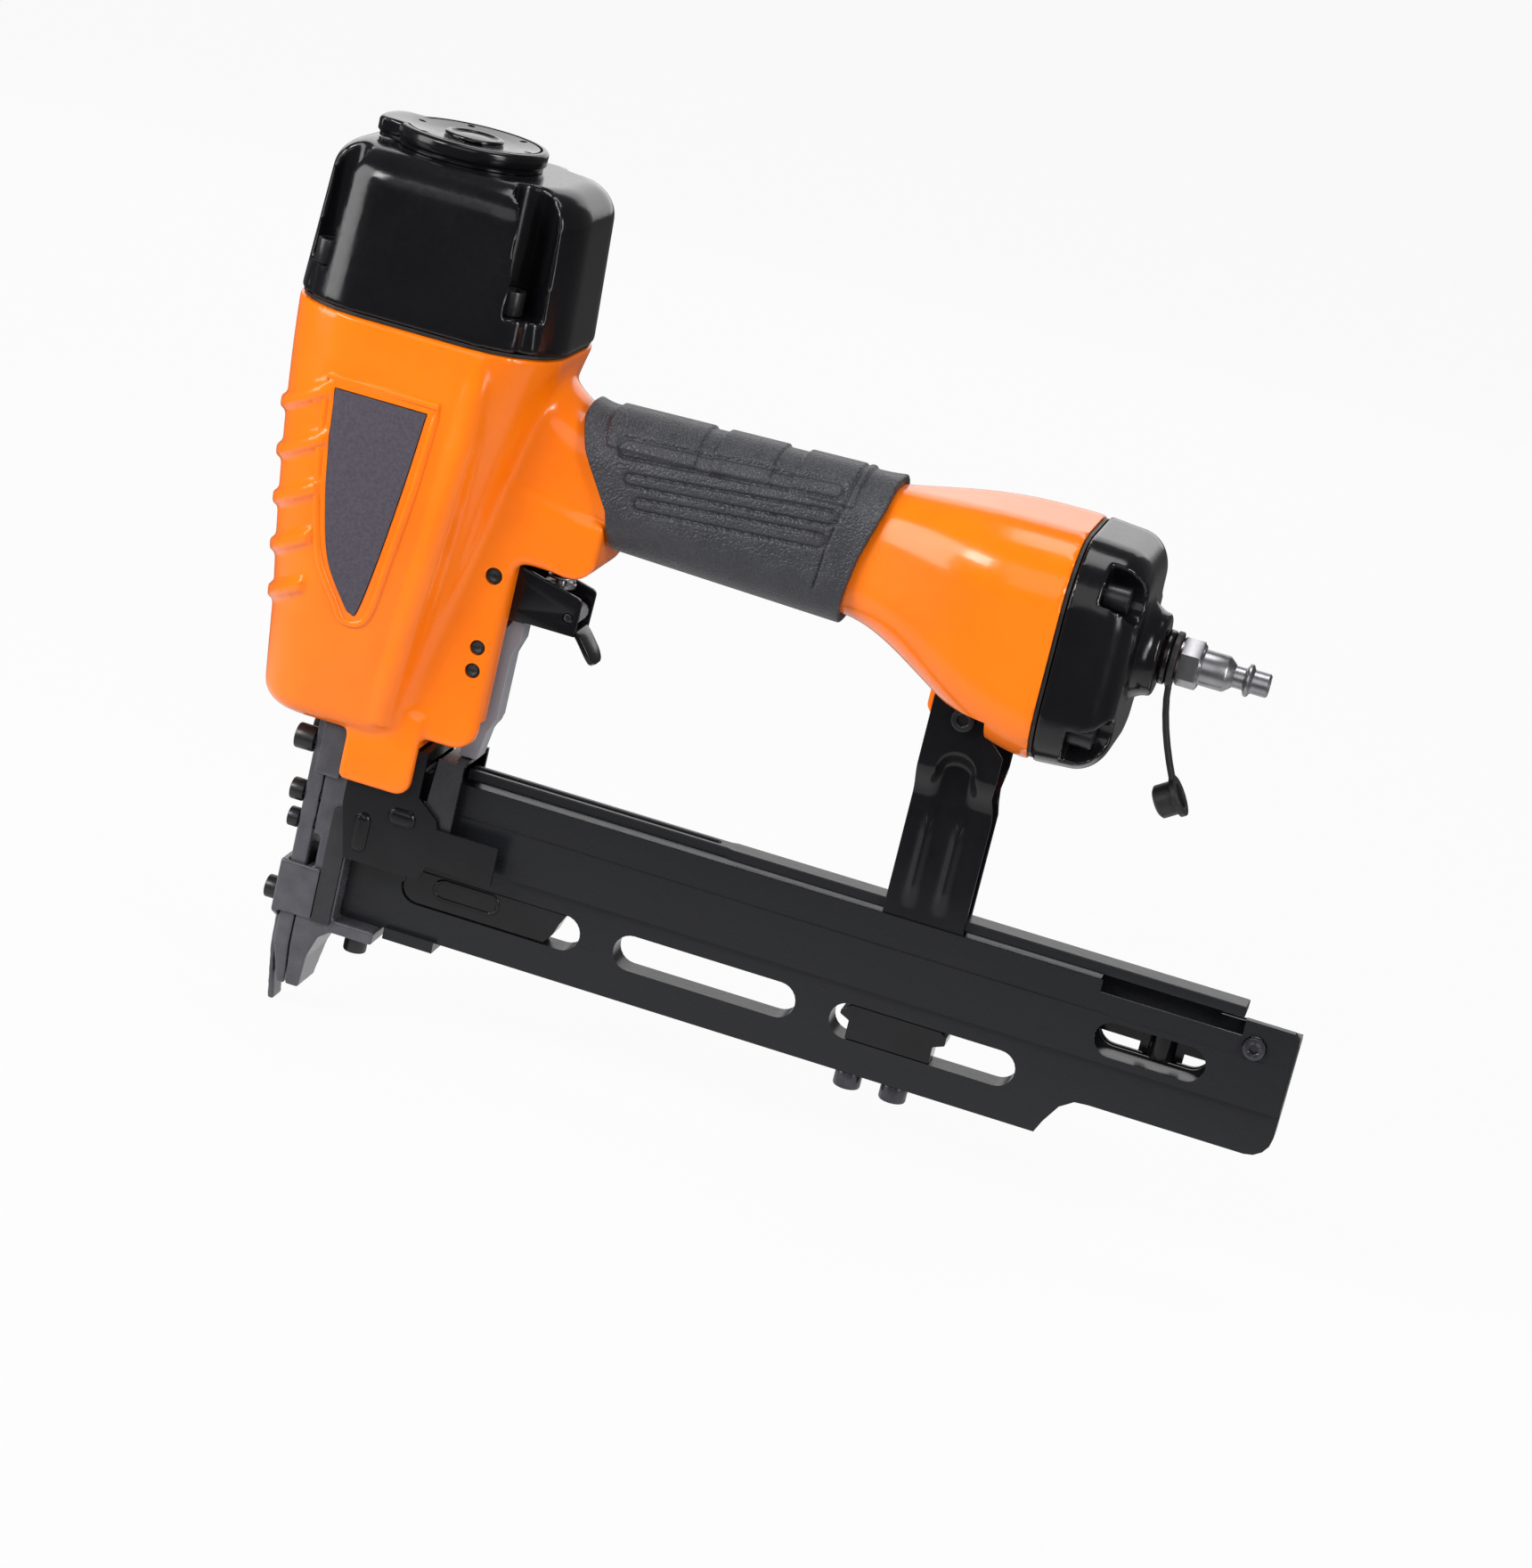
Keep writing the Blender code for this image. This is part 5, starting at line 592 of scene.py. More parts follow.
def makeCasting():
    c = casting
    forms = [barrelForm("barrelForm")]
    stations = [mix(handle["front"], handle["bellEnd"], i / 90) for i in range(91)]
    forms.append(toObject("handleForm", loftFrom([handleRing(x) for x in stations])))
    web = [(20, 101.2)] + arcPoints(40, 109.7, 8.5, -90, 0, 8) + [(48.5, 167), (50, 168.5)]
    web += arcPoints(67, 176.5, 8, -90, 0, 8) + [(75, 188.7), (20, 196.7)]
    tongue = [(5, 109), (5, 82), (6.5, 80.5)] + arcPoints(25, 85.5, 5, -90, 0, 6) + [(30, 109)]
    lug = [(191, 182.7), (191, 160.2), (198.3, 151.2), (210.3, 151.2), (215.5, 160.2), (215.5, 182.7)]
    for name, outline, half in (("webForm", web, 16.8), ("tongueForm", tongue, 18.6), ("lugForm", lug, 10.4)):
        forms.append(toObject(name, slab(outline, "Y", -half, half)))
    for i in range(c["ribs"]):
        low = c["ribTop"] - i * c["ribPitch"] - c["ribHeight"] / 2
        front = barrel["topFront"] - 8
        climb = (c["ribEnd"] - front) * c["ribSlope"]
        outline = [(front, low), (c["ribEnd"], low + climb), (c["ribEnd"], low + climb + c["ribHeight"]),
                   (front, low + c["ribHeight"])]
        rib = toObject("ribForm", slab(outline, "Y", -39, 39))
        carve(rib, [barrelForm("ribLimit", c["ribRise"])], "INTERSECT")
        forms.append(rib)
    ridge = easeLoop(c["ridge"], 8)
    forms.append(beadAlong("flankRidge", ridge, c["ridgeRadius"], c["ridgeSunk"], False, 16))
    body = gather("castingBody", forms)
    melt(body, c["voxel"], c["rounds"])

    def fold(x, y, z):  # wide fillets: barrel to web, barrel to handle root, bump under the handle
        crest = along([(b, a) for a, b in reversed(c["ridge"])], z) if y < 0 else 14
        flank = smoothStep(crest + 2.5, crest + 6, x) * (1 - smoothStep(56, 66, x))
        flank *= smoothStep(11, 15, abs(y))
        flank *= smoothStep(104, 116, z) * (1 - smoothStep(228, 234, z))
        root = smoothStep(34, 44, x) * (1 - smoothStep(66, 74, x)) * smoothStep(176, 186, z)
        root *= 1 - smoothStep(232, 237, z)
        return max(flank, root)

    relax(body, c["relax"], fold)
    rim = beadAlong("padRim", padOutline(c["rimMargin"]), c["rimRadius"], c["rimSunk"], True)
    carve(body, [rim], "UNION")
    carve(body, castingCutters())
    dress(body, orangePaint, "orange_paint", "housing", sharp=45)
    print("casting:", len(body.data.polygons), "faces")


def screwHoles(key, axis, low, high):
    return [rodForm("hole", joinery["screwHole"], axis, place, low, high, 24) for place in joinery[key]]


def castingCutters():
    pocket = toObject("padPocket", slab(padOutline(pad["gap"]), "Y", pad["out"], pad["pocketIn"]))
    carve(pocket, [barrelForm("pocketFloor", -pad["thick"])])
    chamber = [(19.8, 112), (19.8, 188), (29, 192), (29, 243)]
    bell = [handleRing(mix(190, 234, i / 12), -12) for i in range(13)]
    hole = joinery["screwHole"]
    cutters = [pocket, toObject("chamberCut", latheForm(chamber, "Z", (0, 0), 72)),
               boxForm("bladeCut", (-1.4, -6.95, 88), (1.4, 6.95, 114)),
               rodForm("airwayCut", 10.5, "X", (0, 202.35), 18, 208),
               toObject("bellCut", loftFrom(bell)),
               rodForm("valveCut", 7.3, "Z", (61, 0), 162.5, 187.2),
               boxForm("triggerCut", (36, -9.3, 92), (57.5, 9.3, 168.2)),
               boxForm("yokeCut", (34, -14.2, 91), (58.5, 14.2, 112)),
               boxForm("tongueCut", (-1, -15.9, 70), (36, 15.9, 97.7))]
    across = {"triggerPin": hole, "guidePinLow": 2.6, "guidePinHigh": 2.6, "strutScrew": hole}
    cutters += [rodForm(key + "Cut", radius, "Y", joinery[key], -30, 30) for key, radius in across.items()]
    cutters += [boxForm("strutCutNear", (185, -60, 120), (213.5, -10.4, 166.3)),
                boxForm("strutCutFar", (185, 10.4, 120), (213.5, 60, 166.3))]
    return cutters + screwHoles("capScrews", "Z", 226, 244) + screwHoles("endScrews", "X", 214.4, 234)


def makeSidePad():
    made = toObject("sidePad", slab(padOutline(0), "Y", pad["out"], pad["padIn"]))
    carve(made, [barrelForm("padFace", pad["proud"])], "INTERSECT")
    carve(made, [barrelForm("padBack", -pad["back"])])
    dress(made, padGrain, "charcoal_rubber", "side_pad", sharp=30)


makeCasting()
makeSidePad()

# cylinder cap, deflector disc and its boss

capShape = dict(
    base=240.0, top=292.0, draft=2.0, round=11.5, ledge=250.5, channel=6.4, relief=4.0, reliefOut=12.6,
    reliefShort=5.5, port=3.0, portOut=13, voxel=0.8, rounds=4)


def capRing(z, inset):
    b = barrel
    ring = roundRing(b["topFront"] + inset, b["topRear"] - inset, inset - b["topHalf"], b["topHalf"] - inset,
                     b["corner"] - inset * 0.6)
    return [(x, y, z) for x, y in ring]


def shoulderRings(ring, start, inset, radius, steps):  # a quarter round, from upright to level
    turns = [radians(90 * i / steps) for i in range(1, steps + 1)]
    return [ring(start + radius * sin(t), inset + radius * (1 - cos(t))) for t in turns]


def shellRings(ring, start, end, draft, radius, rise):  # a drafted wall, then a quarter-round shoulder
    shoulder = end - radius
    rings = [ring(start, 0.3), ring(start + 0.4, 0)]
    rings += [ring(mix(start + 0.4, shoulder, i / rise), draft * i / rise) for i in range(1, rise + 1)]
    return rings + shoulderRings(ring, shoulder, draft, radius, 12)


def channelOutline(u, v, turn, radius, reach=30):
    far = (u + reach * cos(turn), v + reach * sin(turn))
    way = degrees(turn)
    return arcPoints(u, v, radius, way + 90, way + 270, 16) + arcPoints(*far, radius, way - 90, way + 90, 4)


def makeCap():
    c = capShape
    made = toObject("capShell", loftFrom(shellRings(capRing, c["base"], c["top"], c["draft"], c["round"], 8)))
    channels = []
    for x, y in joinery["capScrews"]:
        turn = atan2(copysign(6, y), copysign(8, x))
        outline = channelOutline(x, y, turn, c["channel"])
        channels.append(toObject("channel", slab(outline, "Z", c["ledge"], 300)))
        out = c["reliefOut"] if x > 0 else c["reliefOut"] - c["reliefShort"]
        relief = (x + out * cos(turn), y + out * sin(turn))
        channels.append(rodForm("relief", c["relief"], "Z", relief, c["base"] - 3, c["ledge"] + 1))
    carve(made, channels)
    melt(made, c["voxel"], c["rounds"])
    cavity = [(29, 235), (29, 272), (23, 278)]
    holes = [toObject("cavity", latheForm(cavity, "Z", (0, 0), 72))]
    holes.append(rodForm("thread", 3.3, "Z", (0, 0), 274, 297))
    ports = arcPoints(0, 0, c["portOut"], 0, 270, 3)
    holes += [rodForm("port", c["port"], "Z", place, 274, 297) for place in ports]
    carve(made, holes + screwHoles("capScrews", "Z", 235, 252))
    dress(made, glossBlack, "gloss_black", "cylinder_cap", sharp=45)
    print("cap:", len(made.data.polygons), "faces")


deflector = dict(
    low=292.3, high=298.8, radius=25.0, visor=31.5, visorHalf=12.0, wall=2.2, vent=1.3, ventOut=19.5,
    ventTurn=52)


def deflectorRim(steps=96):
    d = deflector
    spread = degrees(asin(d["visorHalf"] / d["radius"]))
    lip = degrees(atan2(d["visorHalf"], d["visor"] - 3)) * 0.62
    rim = arcPoints(0, 0, d["radius"], spread - 180, 180 - spread, steps)
    rim += arcPoints(-d["visor"] + 4, d["visorHalf"] - 3.2, 2.4, 70, 118, 4)
    rim += arcPoints(0, 0, d["visor"], 180 - lip, 180 + lip, 16)
    return rim + arcPoints(-d["visor"] + 4, 3.2 - d["visorHalf"], 2.4, -118, -70, 4)


def makeDeflector():
    d = deflector
    rim = deflectorRim()

    def tier(z, inset):
        return [(x - inset * x / hypot(x, y), y - inset * y / hypot(x, y), z) for x, y in rim]

    low, high = d["low"], d["high"]
    steps = [(0, 1.0), (1.1, 1.0), (1.5, 0.75), (1.75, 0.35), (2.1, 0.15)]
    rings = [tier(low + up, inset) for up, inset in steps]
    rings.append(tier(high - 1.5, 0.15))
    rings += shoulderRings(tier, high - 1.5, 0.15, 1.5, 6)
    rings.append(tier(high, 3.2))
    dish = [(22.6, 0), (21.2, 0.2), (18.8, 0.45), (15.8, 0.8), (12.4, 1.2)]  # shallow and round
    for radius, drop in dish:
        rings.append([(radius * x / hypot(x, y), radius * y / hypot(x, y), high - drop) for x, y in rim])
    made = toObject("deflectorDisc", loftFrom(rings))
    hollow = arcPoints(0, 0, 22.8, -160, 160, 60) + [(-37.5, 7.8), (-37.5, -7.8)]
    cutters = [toObject("hollow", slab(hollow, "Z", low - 4, high - d["wall"]))]
    vents = arcPoints(0, 0, d["ventOut"], d["ventTurn"], d["ventTurn"] + 300, 5)
    cutters += [rodForm("vent", d["vent"], "Z", place, high - 4, high + 4, 24) for place in vents]
    carve(made, cutters)
    carve(made, [rodForm("hub", 5.8, "Z", (0, 0), low, high - 1.5)], "UNION")
    carve(made, [rodForm("bore", 3.4, "Z", (0, 0), low - 4, high + 4)])
    dress(made, glossBlack, "gloss_black", "exhaust_deflector", body="deflector", sharp=40)
    profile = [(3.0, 279), (3.0, 297.9), (9.3, 297.9), (9.8, 298.1), (9.8, 298.6), (9.5, 298.95),
               (8.9, 299.1), (8.3, 299.1), (7.8, 298.95), (7.4, 298.6), (6.9, 298.45), (6.2, 298.55),
               (3.0, 298.8), (0.8, 298.85)]
    boss = toObject("deflectorBoss", latheForm(profile, "Z", (0, 0), 72))
    dress(boss, glossBlack, "gloss_black", "deflector_screw", sharp=50)


makeCap()
makeDeflector()

# end cap, air plug, collar and dust cap

endShape = dict(
    front=230.0, rear=252.5, draft=0.8, round=11.0, ledge=239.5, channel=7.0, wall=14, inlet=6.8,
    voxel=0.75, rounds=4)


def endRing(x, inset):
    h = handle
    half = h["bellHalf"] - inset
    ring = roundRing(-half, half, h["bellLow"] + inset, h["bellHigh"] - inset, h["bellCorner"] - inset * 0.5)
    return [(x, y, z) for y, z in ring]


def makeEndCap():
    c = endShape
    airLine = (0, joinery["airLine"])
    rings = shellRings(endRing, c["front"], c["rear"], c["draft"], c["round"], 5)
    block = toObject("endBlock", loftFrom(rings))
    boss = [(21, 246), (17.4, 252.2), (15.2, 254.6), (14.0, 256.6), (13.8, 259.0), (13.0, 259.6)]
    made = gather("endCapShell", [block, toObject("inletBoss", latheForm(boss, "X", airLine, 72))])
    melt(made, c["voxel"], 1)
    pockets = []
    for y, z in joinery["endScrews"]:
        turn = atan2(copysign(8, z - 194), copysign(8, y))
        outline = channelOutline(y, z, turn, c["channel"])
        pockets.append(toObject("pocket", slab(outline, "X", c["ledge"], 262)))
    carve(made, pockets)
    melt(made, c["voxel"], c["rounds"])
    hollow = toObject("hollow", loftFrom([endRing(225, c["wall"]), endRing(246, c["wall"])]))
    holes = [hollow, rodForm("inlet", c["inlet"], "X", airLine, 241, 264)]
    carve(made, holes + screwHoles("endScrews", "X", 225, 241))
    dress(made, glossBlack, "gloss_black", "end_cap", sharp=45)
    print("end cap:", len(made.data.polygons), "faces")


plug = dict(
    hexStart=265.1, hexEnd=272.7, flats=14.3, body=5.95, bodyEnd=283.3, neck=3.6, ridge=286.9,
    ridgeEnd=289.5, ridgeRadius=5.4, tip=295.1, nose=3.95, bore=2.6, thread=6.5, threadStart=256, crests=9,
    sealant=(0.2465, 0.2628))


def makePlug():
    p = plug
    airLine = (0, joinery["airLine"])
    start, end, bodyEnd, ridge, ridgeEnd, tip = (
        p[key] for key in ("hexStart", "hexEnd", "bodyEnd", "ridge", "ridgeEnd", "tip"))
    flat, body, neck, nose, bore = p["flats"] / 2, p["body"], p["neck"], p["nose"], p["bore"]
    profile = [(bore, 244.6), (6.3, 244.6), (p["thread"], 245)]
    for i in range(p["crests"]):  # the last ones show between collar and ring
        profile += [(p["thread"], p["threadStart"] + i), (6.15, p["threadStart"] + i + 0.5)]
    profile += [
        (p["thread"], start - 0.2), (6.6, start), (7.2, start), (flat - 0.05, start + 0.7, "hex"),
        (flat, start + 0.8, "hex"), (flat, end - 0.8, "hex"), (flat - 0.05, end - 0.7, "hex"), (7.0, end),
        (6.3, end), (body, end + 0.4), (body, bodyEnd - 2.6), (body - 0.3, bodyEnd - 2.1),
        (neck + 0.5, bodyEnd - 0.3), (neck, bodyEnd + 0.2), (neck, ridge - 0.2), (neck + 0.3, ridge + 0.1),
        (5.1, ridge + 0.6), (p["ridgeRadius"], ridge + 1.0), (p["ridgeRadius"], ridgeEnd - 1.0),
        (5.1, ridgeEnd - 0.6), (nose + 0.2, ridgeEnd - 0.1), (nose, ridgeEnd + 0.2), (nose, tip - 0.6),
        (nose - 0.5, tip), (bore + 0.4, tip), (bore, tip - 0.5), (bore, tip - 12)]
    made = toObject("airPlug", latheForm(profile, "X", airLine, 72))
    dress(made, plugSteel, "bright_steel", "air_plug", sharp=32)
    made.data.materials.append(threadSealant)
    low, high = p["sealant"]
    for face in made.data.polygons:
        if low < face.center.x < high:
            face.material_index = 1
    collar = [(6.8, 259.9), (8.4, 259.9), (9.0, 260.4), (9.0, 261.9), (8.4, 262.5), (6.8, 262.5)]
    ring = toObject("plugCollar", spinTube(collar, "X", airLine))
    dress(ring, glossBlack, "gloss_black", "plug_collar", sharp=60)


makeEndCap()
makePlug()
castCopy("dustCap", "dust_cap", softRubber, "charcoal_rubber", "dust_cap", 0.22, 9)

# grip sleeve

grip = dict(
    thick=3.2, core=0.3, stations=260, cornerSteps=(90, 90, 22, 22), sideSteps=36, topSteps=6, padRise=1.0,
    grooveDeep=1.0, grooveWide=0.6, long=95, lip=0.9, band=0.875,
    front=[(150, 76.5), (182.7, 76.5), (194.5, 74.5), (212.2, 63.5), (222, 59.5), (255, 58.5)],
    rear=[(150, 156), (182.7, 156), (202.4, 159), (220, 164), (255, 167)],
    pads=[(0.08, 0.38), (0.43, 0.62), (0.69, 0.9)],
    loops=[(76.6, 216.4, 146.8, 221.5, 2.7, 2.2), (80.2, 207.0, 146.6, 213.2, 1.9, 2.4),
           (85.4, 199.9, 145.0, 204.9, 2.0, 2.4)])


def gripPoint(x, grow, key):
    quarter, turned, onward = key  # a corner, how far round it, and how far along the straight after it
    half, low, high, corner = handleSection(x, grow)
    corner = min(corner, half - 0.05, (high - low) / 2 - 0.05)
    side, low, high = half - corner, low + corner, high - corner
    middles = [(side, high), (-side, high), (-side, low), (side, low)]
    (y, z), (nextY, nextZ) = middles[quarter], middles[(quarter + 1) % 4]
    turn = radians(90 * quarter + 90 * turned)
    return mix(y, nextY, onward) + corner * cos(turn), mix(z, nextZ, onward) + corner * sin(turn)


def gripRelief(x, y, z, share):
    g = grip
    relief = 0.0
    crown = handleSection(x, g["thick"])[2]
    for start, stop in g["pads"]:
        edge = smoothStep(start - 0.006, start + 0.006, share)
        edge = min(edge, 1 - smoothStep(stop - 0.006, stop + 0.006, share))
        relief = max(relief, g["padRise"] * edge * smoothStep(crown - 10.6, crown - 9.4, z))
    if abs(y) > 8:
        for x0, z0, x1, z1, r0, r1 in g["loops"]:
            wide, tall = x1 - x0, z1 - z0
            s = clamp(((x - x0) * wide + (z - z0) * tall) / (wide**2 + tall**2))
            gap = abs(hypot(x - mix(x0, x1, s), z - mix(z0, z1, s)) - mix(r0, r1, s))
            relief -= g["grooveDeep"] * exp(-((gap / g["grooveWide"]) ** 2))
    band = abs(share - g["band"]) * g["long"]
    if z > 188 or abs(y) < 8:
        relief -= g["grooveDeep"] * exp(-((band / 0.5) ** 2)) * smoothStep(188, 190, z)
    return relief


def makeGrip():
    g = grip
    keys = []
    for quarter in range(4):
        corner = g["cornerSteps"][quarter]
        keys += [(quarter, i / corner, 0) for i in range(corner + 1)]
        steps = g["topSteps"] if quarter in (0, 2) else g["sideSteps"]
        keys += [(quarter, 1, i / steps) for i in range(1, steps)]
    rings = []
    count = g["stations"]
    for grow, stations in ((g["thick"], range(count + 1)), (g["core"], range(count, -1, -10))):
        for i in stations:
            share = i / count
            lip = clamp(min(i, count - i) * g["long"] / count / g["lip"])  # 0 at either end of the sleeve
            drop = g["lip"] * (1 - sqrt(1 - (1 - lip) ** 2)) if grow == g["thick"] else 0
            ring = []
            for key in keys:
                x = mix(68, 161, share)
                for _ in range(3):
                    y, z = gripPoint(x, grow - drop, key)
                    x = mix(along(g["front"], z), along(g["rear"], z), share)
                if grow == g["thick"]:
                    lift = gripRelief(x, y, z, share)
                    y, z = gripPoint(x, grow - drop + lift, key)
                ring.append((x, y, z))
            rings.append(ring)
    bm = closedLoft(rings, 1e-3)
    made = toObject("gripSleeve", bm)
    dress(made, gripRubber, "charcoal_rubber", "handle_grip", sharp=70)
    print("grip:", len(made.data.polygons), "faces")


makeGrip()

# strut stamping with its knee, scoop and two beads

strut = dict(
    front=193.0, low=62.4, top=166.0, narrow=4.9, wide=10.8, sheet=1.5, kneeLow=129.5, kneeHigh=142.0,
    middle=205.9, archHalf=6.6, archTop=147.5, beadOut=5.2, beadWide=1.7, beadRise=1.7, beadLow=91.0,
    across=60, up=220,
    rear=[(60, 220.6), (127, 220.6), (135, 219.0), (142, 219.6), (150.6, 219.6), (156.8, 212.7),
          (165, 211.5), (167, 211.0)])


def strutDepth(x, z):
    s = strut
    across = abs(x - s["middle"])
    flange = smoothStep(s["kneeLow"], s["kneeHigh"], z)
    crown = s["archTop"] - s["archHalf"] + sqrt(max(0, s["archHalf"] ** 2 - across**2))
    scoop = min(flange, smoothStep(crown - 5.0, crown + 1.5, z))
    step = mix(scoop, flange, smoothStep(s["archHalf"] - 2.6, s["archHalf"] + 1.8, across))
    below = smoothStep(s["beadLow"], s["beadLow"] + 9, z)
    below *= 1 - smoothStep(s["kneeLow"] - 12, s["kneeLow"] + 2, z)
    bead = s["beadRise"] * exp(-(((across - s["beadOut"]) / s["beadWide"]) ** 2))
    return mix(s["narrow"], s["wide"], step) + bead * below


def makeStrut():
    s = strut
    forms = []
    for side in (-1, 1):
        bm = bmesh.new()
        bmesh.ops.create_grid(bm, x_segments=s["across"], y_segments=s["up"], size=1)
        for vert in bm.verts:
            u, v = (vert.co.x + 1) / 2, (vert.co.y + 1) / 2
            z = mix(s["low"], s["top"], v)
            x = mix(s["front"], along(s["rear"], z), u)
            vert.co = (x, side * strutDepth(x, z), z)
        bmesh.ops.recalc_face_normals(bm, faces=bm.faces)
        sheet = bmesh.ops.extrude_face_region(bm, geom=list(bm.faces), use_keep_orig=True)["geom"]
        moved = [g for g in sheet if isinstance(g, bmesh.types.BMVert)]
        bmesh.ops.translate(bm, verts=moved, vec=(0, side * s["sheet"], 0))
        rims = [e for e in bm.edges if e.is_manifold and e.calc_face_angle() > 1.2]
        roundEdges(bm, rims, 0.4, 3)
        forms.append(toObject("strutPlate", bm))
    made = gather("strutStamping", forms)
    carve(made, [rodForm("screwHole", joinery["screwHole"], "Y", joinery["strutScrew"], -30, 30)])
    bar = boxForm("anchor", (190, -5.3, 63), (216, 5.3, 73))
    carve(bar, [rodForm("thread", 2.7, "Z", (x, 0), 58, 78, 24) for x in joinery["strutBolts"]])
    carve(made, [bar], "UNION")
    dress(made, stampedBlack, "gloss_black", "strut", sharp=50)
    print("strut:", len(made.data.polygons), "faces")


makeStrut()

# trigger channel with its rolled hook

triggerShape = dict(
    ear=4.5, half=9.0, sheet=1.5, low=147.9, rear=71.6, bend=2.2, floorFront=56.0, hookHalf=6.5,
    hookTip=5.0, edge=0.00022,
    hook=[(68, 148.65), (70.4, 148.55), (72.0, 147.5), (74.2, 144.9), (76.6, 141.8), (78.6, 138.9)])


def hookForm(t):
    spine = easeLoop(t["hook"], 5)
    last = len(spine) - 1
    rings = []
    for i, (x, z) in enumerate(spine):
        before, after = spine[max(i - 1, 0)], spine[min(i + 1, last)]
        ahead = Vector((after[0] - before[0], after[1] - before[1])).normalized()
        left = hypot(spine[last][0] - x, spine[last][1] - z)  # distance still to go to the tip
        half = t["hookHalf"] - 3.6 * (1 - sqrt(1 - (1 - min(left / t["hookTip"], 1)) ** 2))
        thick = mix(0.6, 0.95, min(i / 8, 1))
        ring = roundRing(-half, half, -thick, thick, 0.5, 4)
        rings.append([(x - ahead.y * w, y, z + ahead.x * w) for y, w in ring])
    return toObject("hookForm", loftFrom(rings))


def makeTrigger():
    t = triggerShape
    (px, pz), low, rear = joinery["triggerPin"], t["low"], t["rear"]
    outline = arcPoints(px, pz, t["ear"], 80, 215, 14) + [(px + 3.6, low + 3.4)]
    outline += arcPoints(px + 7.2, low + 2.6, 2.6, 215, 270, 5) + [(rear - 0.3, low), (rear, pz - 3.9)]
    outline += arcPoints(rear - 2.2, pz - 3.6, 2.2, 0, 78, 6) + [(px + 7.5, pz + t["ear"] - 1)]
    bm = slab(outline, "Y", -t["half"], t["half"])
    folds = [e for e in bm.edges if all(abs(v.co.z - low) < 0.01 for v in e.verts)
             and e.verts[0].co.y == e.verts[1].co.y]
    roundEdges(bm, folds, t["bend"], 5)
    made = toObject("triggerPressing", bm)
    inner = t["half"] - t["sheet"]
    carve(made, [boxForm("channel", (30, -inner, low + t["sheet"]), (90, inner, 190)),
                 boxForm("floorFront", (30, -inner, low - 8), (t["floorFront"], inner, low + 8))])
    carve(made, [hookForm(t)], "UNION")
    carve(made, [rodForm("pivotBore", 2.75, "Y", joinery["triggerPin"], -20, 20),
                 rodForm("leverBore", 1.8, "Y", joinery["leverPin"], -20, 20)])
    edges = made.modifiers.new("edges", "BEVEL")
    edges.width = t["edge"]
    edges.segments = 2
    edges.limit_method = "ANGLE"
    edges.angle_limit = radians(40)
    settle(made)
    dress(made, stampedBlack, "gloss_black", "trigger", body="trigger", sharp=45)


makeTrigger()

# screws, bolts and pins

screwSizes = dict(
    cap=dict(seat=250.8, facing=-1, head=4.2, tall=8.0, shank=2.6, reach=24.2, key=2.3),
    end=dict(seat=239.8, facing=-1, head=4.2, tall=8.0, shank=2.6, reach=23.2, key=2.3),
    nose=dict(seat=-7.3, shank=1.9, reach=16.0, key=1.7),
    foot=dict(seat=-10.0, head=4.0, tall=6.6, shank=2.1, reach=7.2, key=1.9),
    latch=dict(seat=-7.0, head=3.9, tall=2.4, shank=2.0, reach=13.9, key=1.8),
    magazine=dict(seat=23.7, head=4.0, tall=7.5, shank=2.4, reach=14.0, key=1.9),
    strutBolt=dict(seat=28.7, head=4.7, tall=5.6, shank=2.4, reach=43.0, key=2.2),
    strutScrew=dict(seat=-12.6, head=4.0, tall=2.6, shank=2.6, reach=26.7, key=2.2))
noseRows = [(88.0, 4.4, 6.8), (69.5, 3.8, 4.8), (59.6, 3.4, 3.8)]  # height, head radius and head length
pins = [("triggerPin", "trigger_pin", 2.6, 16.4, "stapler"),
        ("guidePinLow", "guide_pin_low", 2.3, 16.4, "stapler"),
        ("guidePinHigh", "guide_pin_high", 2.3, 16.4, "stapler"),
        ("leverPin", "lever_pin", 1.5, 9.1, "trigger")]


def socketScrew(name, node, axis, centre, seat, head, tall, shank, reach, key, facing=1, finish=blackScrew,
                slot="dark_phosphate"):
    top = seat - facing * tall
    profile = [
        (key * 0.86, seat - facing * tall * 0.4, "hex"), (key * 0.88, top + facing * 0.2, "hex"),
        (key * 1.12, top), (head - 0.6, top), (head - 0.2, top + facing * 0.15),
        (head, top + facing * 0.55, "knurl"), (head, seat - facing * 0.5, "knurl"), (head - 0.25, seat),
        (shank, seat), (shank, seat + facing * (reach - 0.6)), (shank - 0.5, seat + facing * reach)]
    dress(toObject(name, latheForm(profile, axis, centre, 48)), finish, slot, node, sharp=30)


def pinForm(name, node, radius, reach, body):
    end = [(radius * 0.4, reach - 0.45), (radius * 0.62, reach - 0.05), (radius - 0.5, reach),
           (radius - 0.15, reach - 0.12), (radius, reach - 0.5)]
    profile = [(r, -w) for r, w in end] + end[::-1]  # a dimple in each end
    made = toObject(name, latheForm(profile, "Y", joinery[name], 40))
    dress(made, blackScrew, "dark_phosphate", node, body=body, sharp=40)


def screwRow(name, node, axis, places, sizes, **looks):
    for number, place in enumerate(places, 1):
        socketScrew(f"{name}{number}", f"{node}_{number}", axis, place, **sizes, **looks)


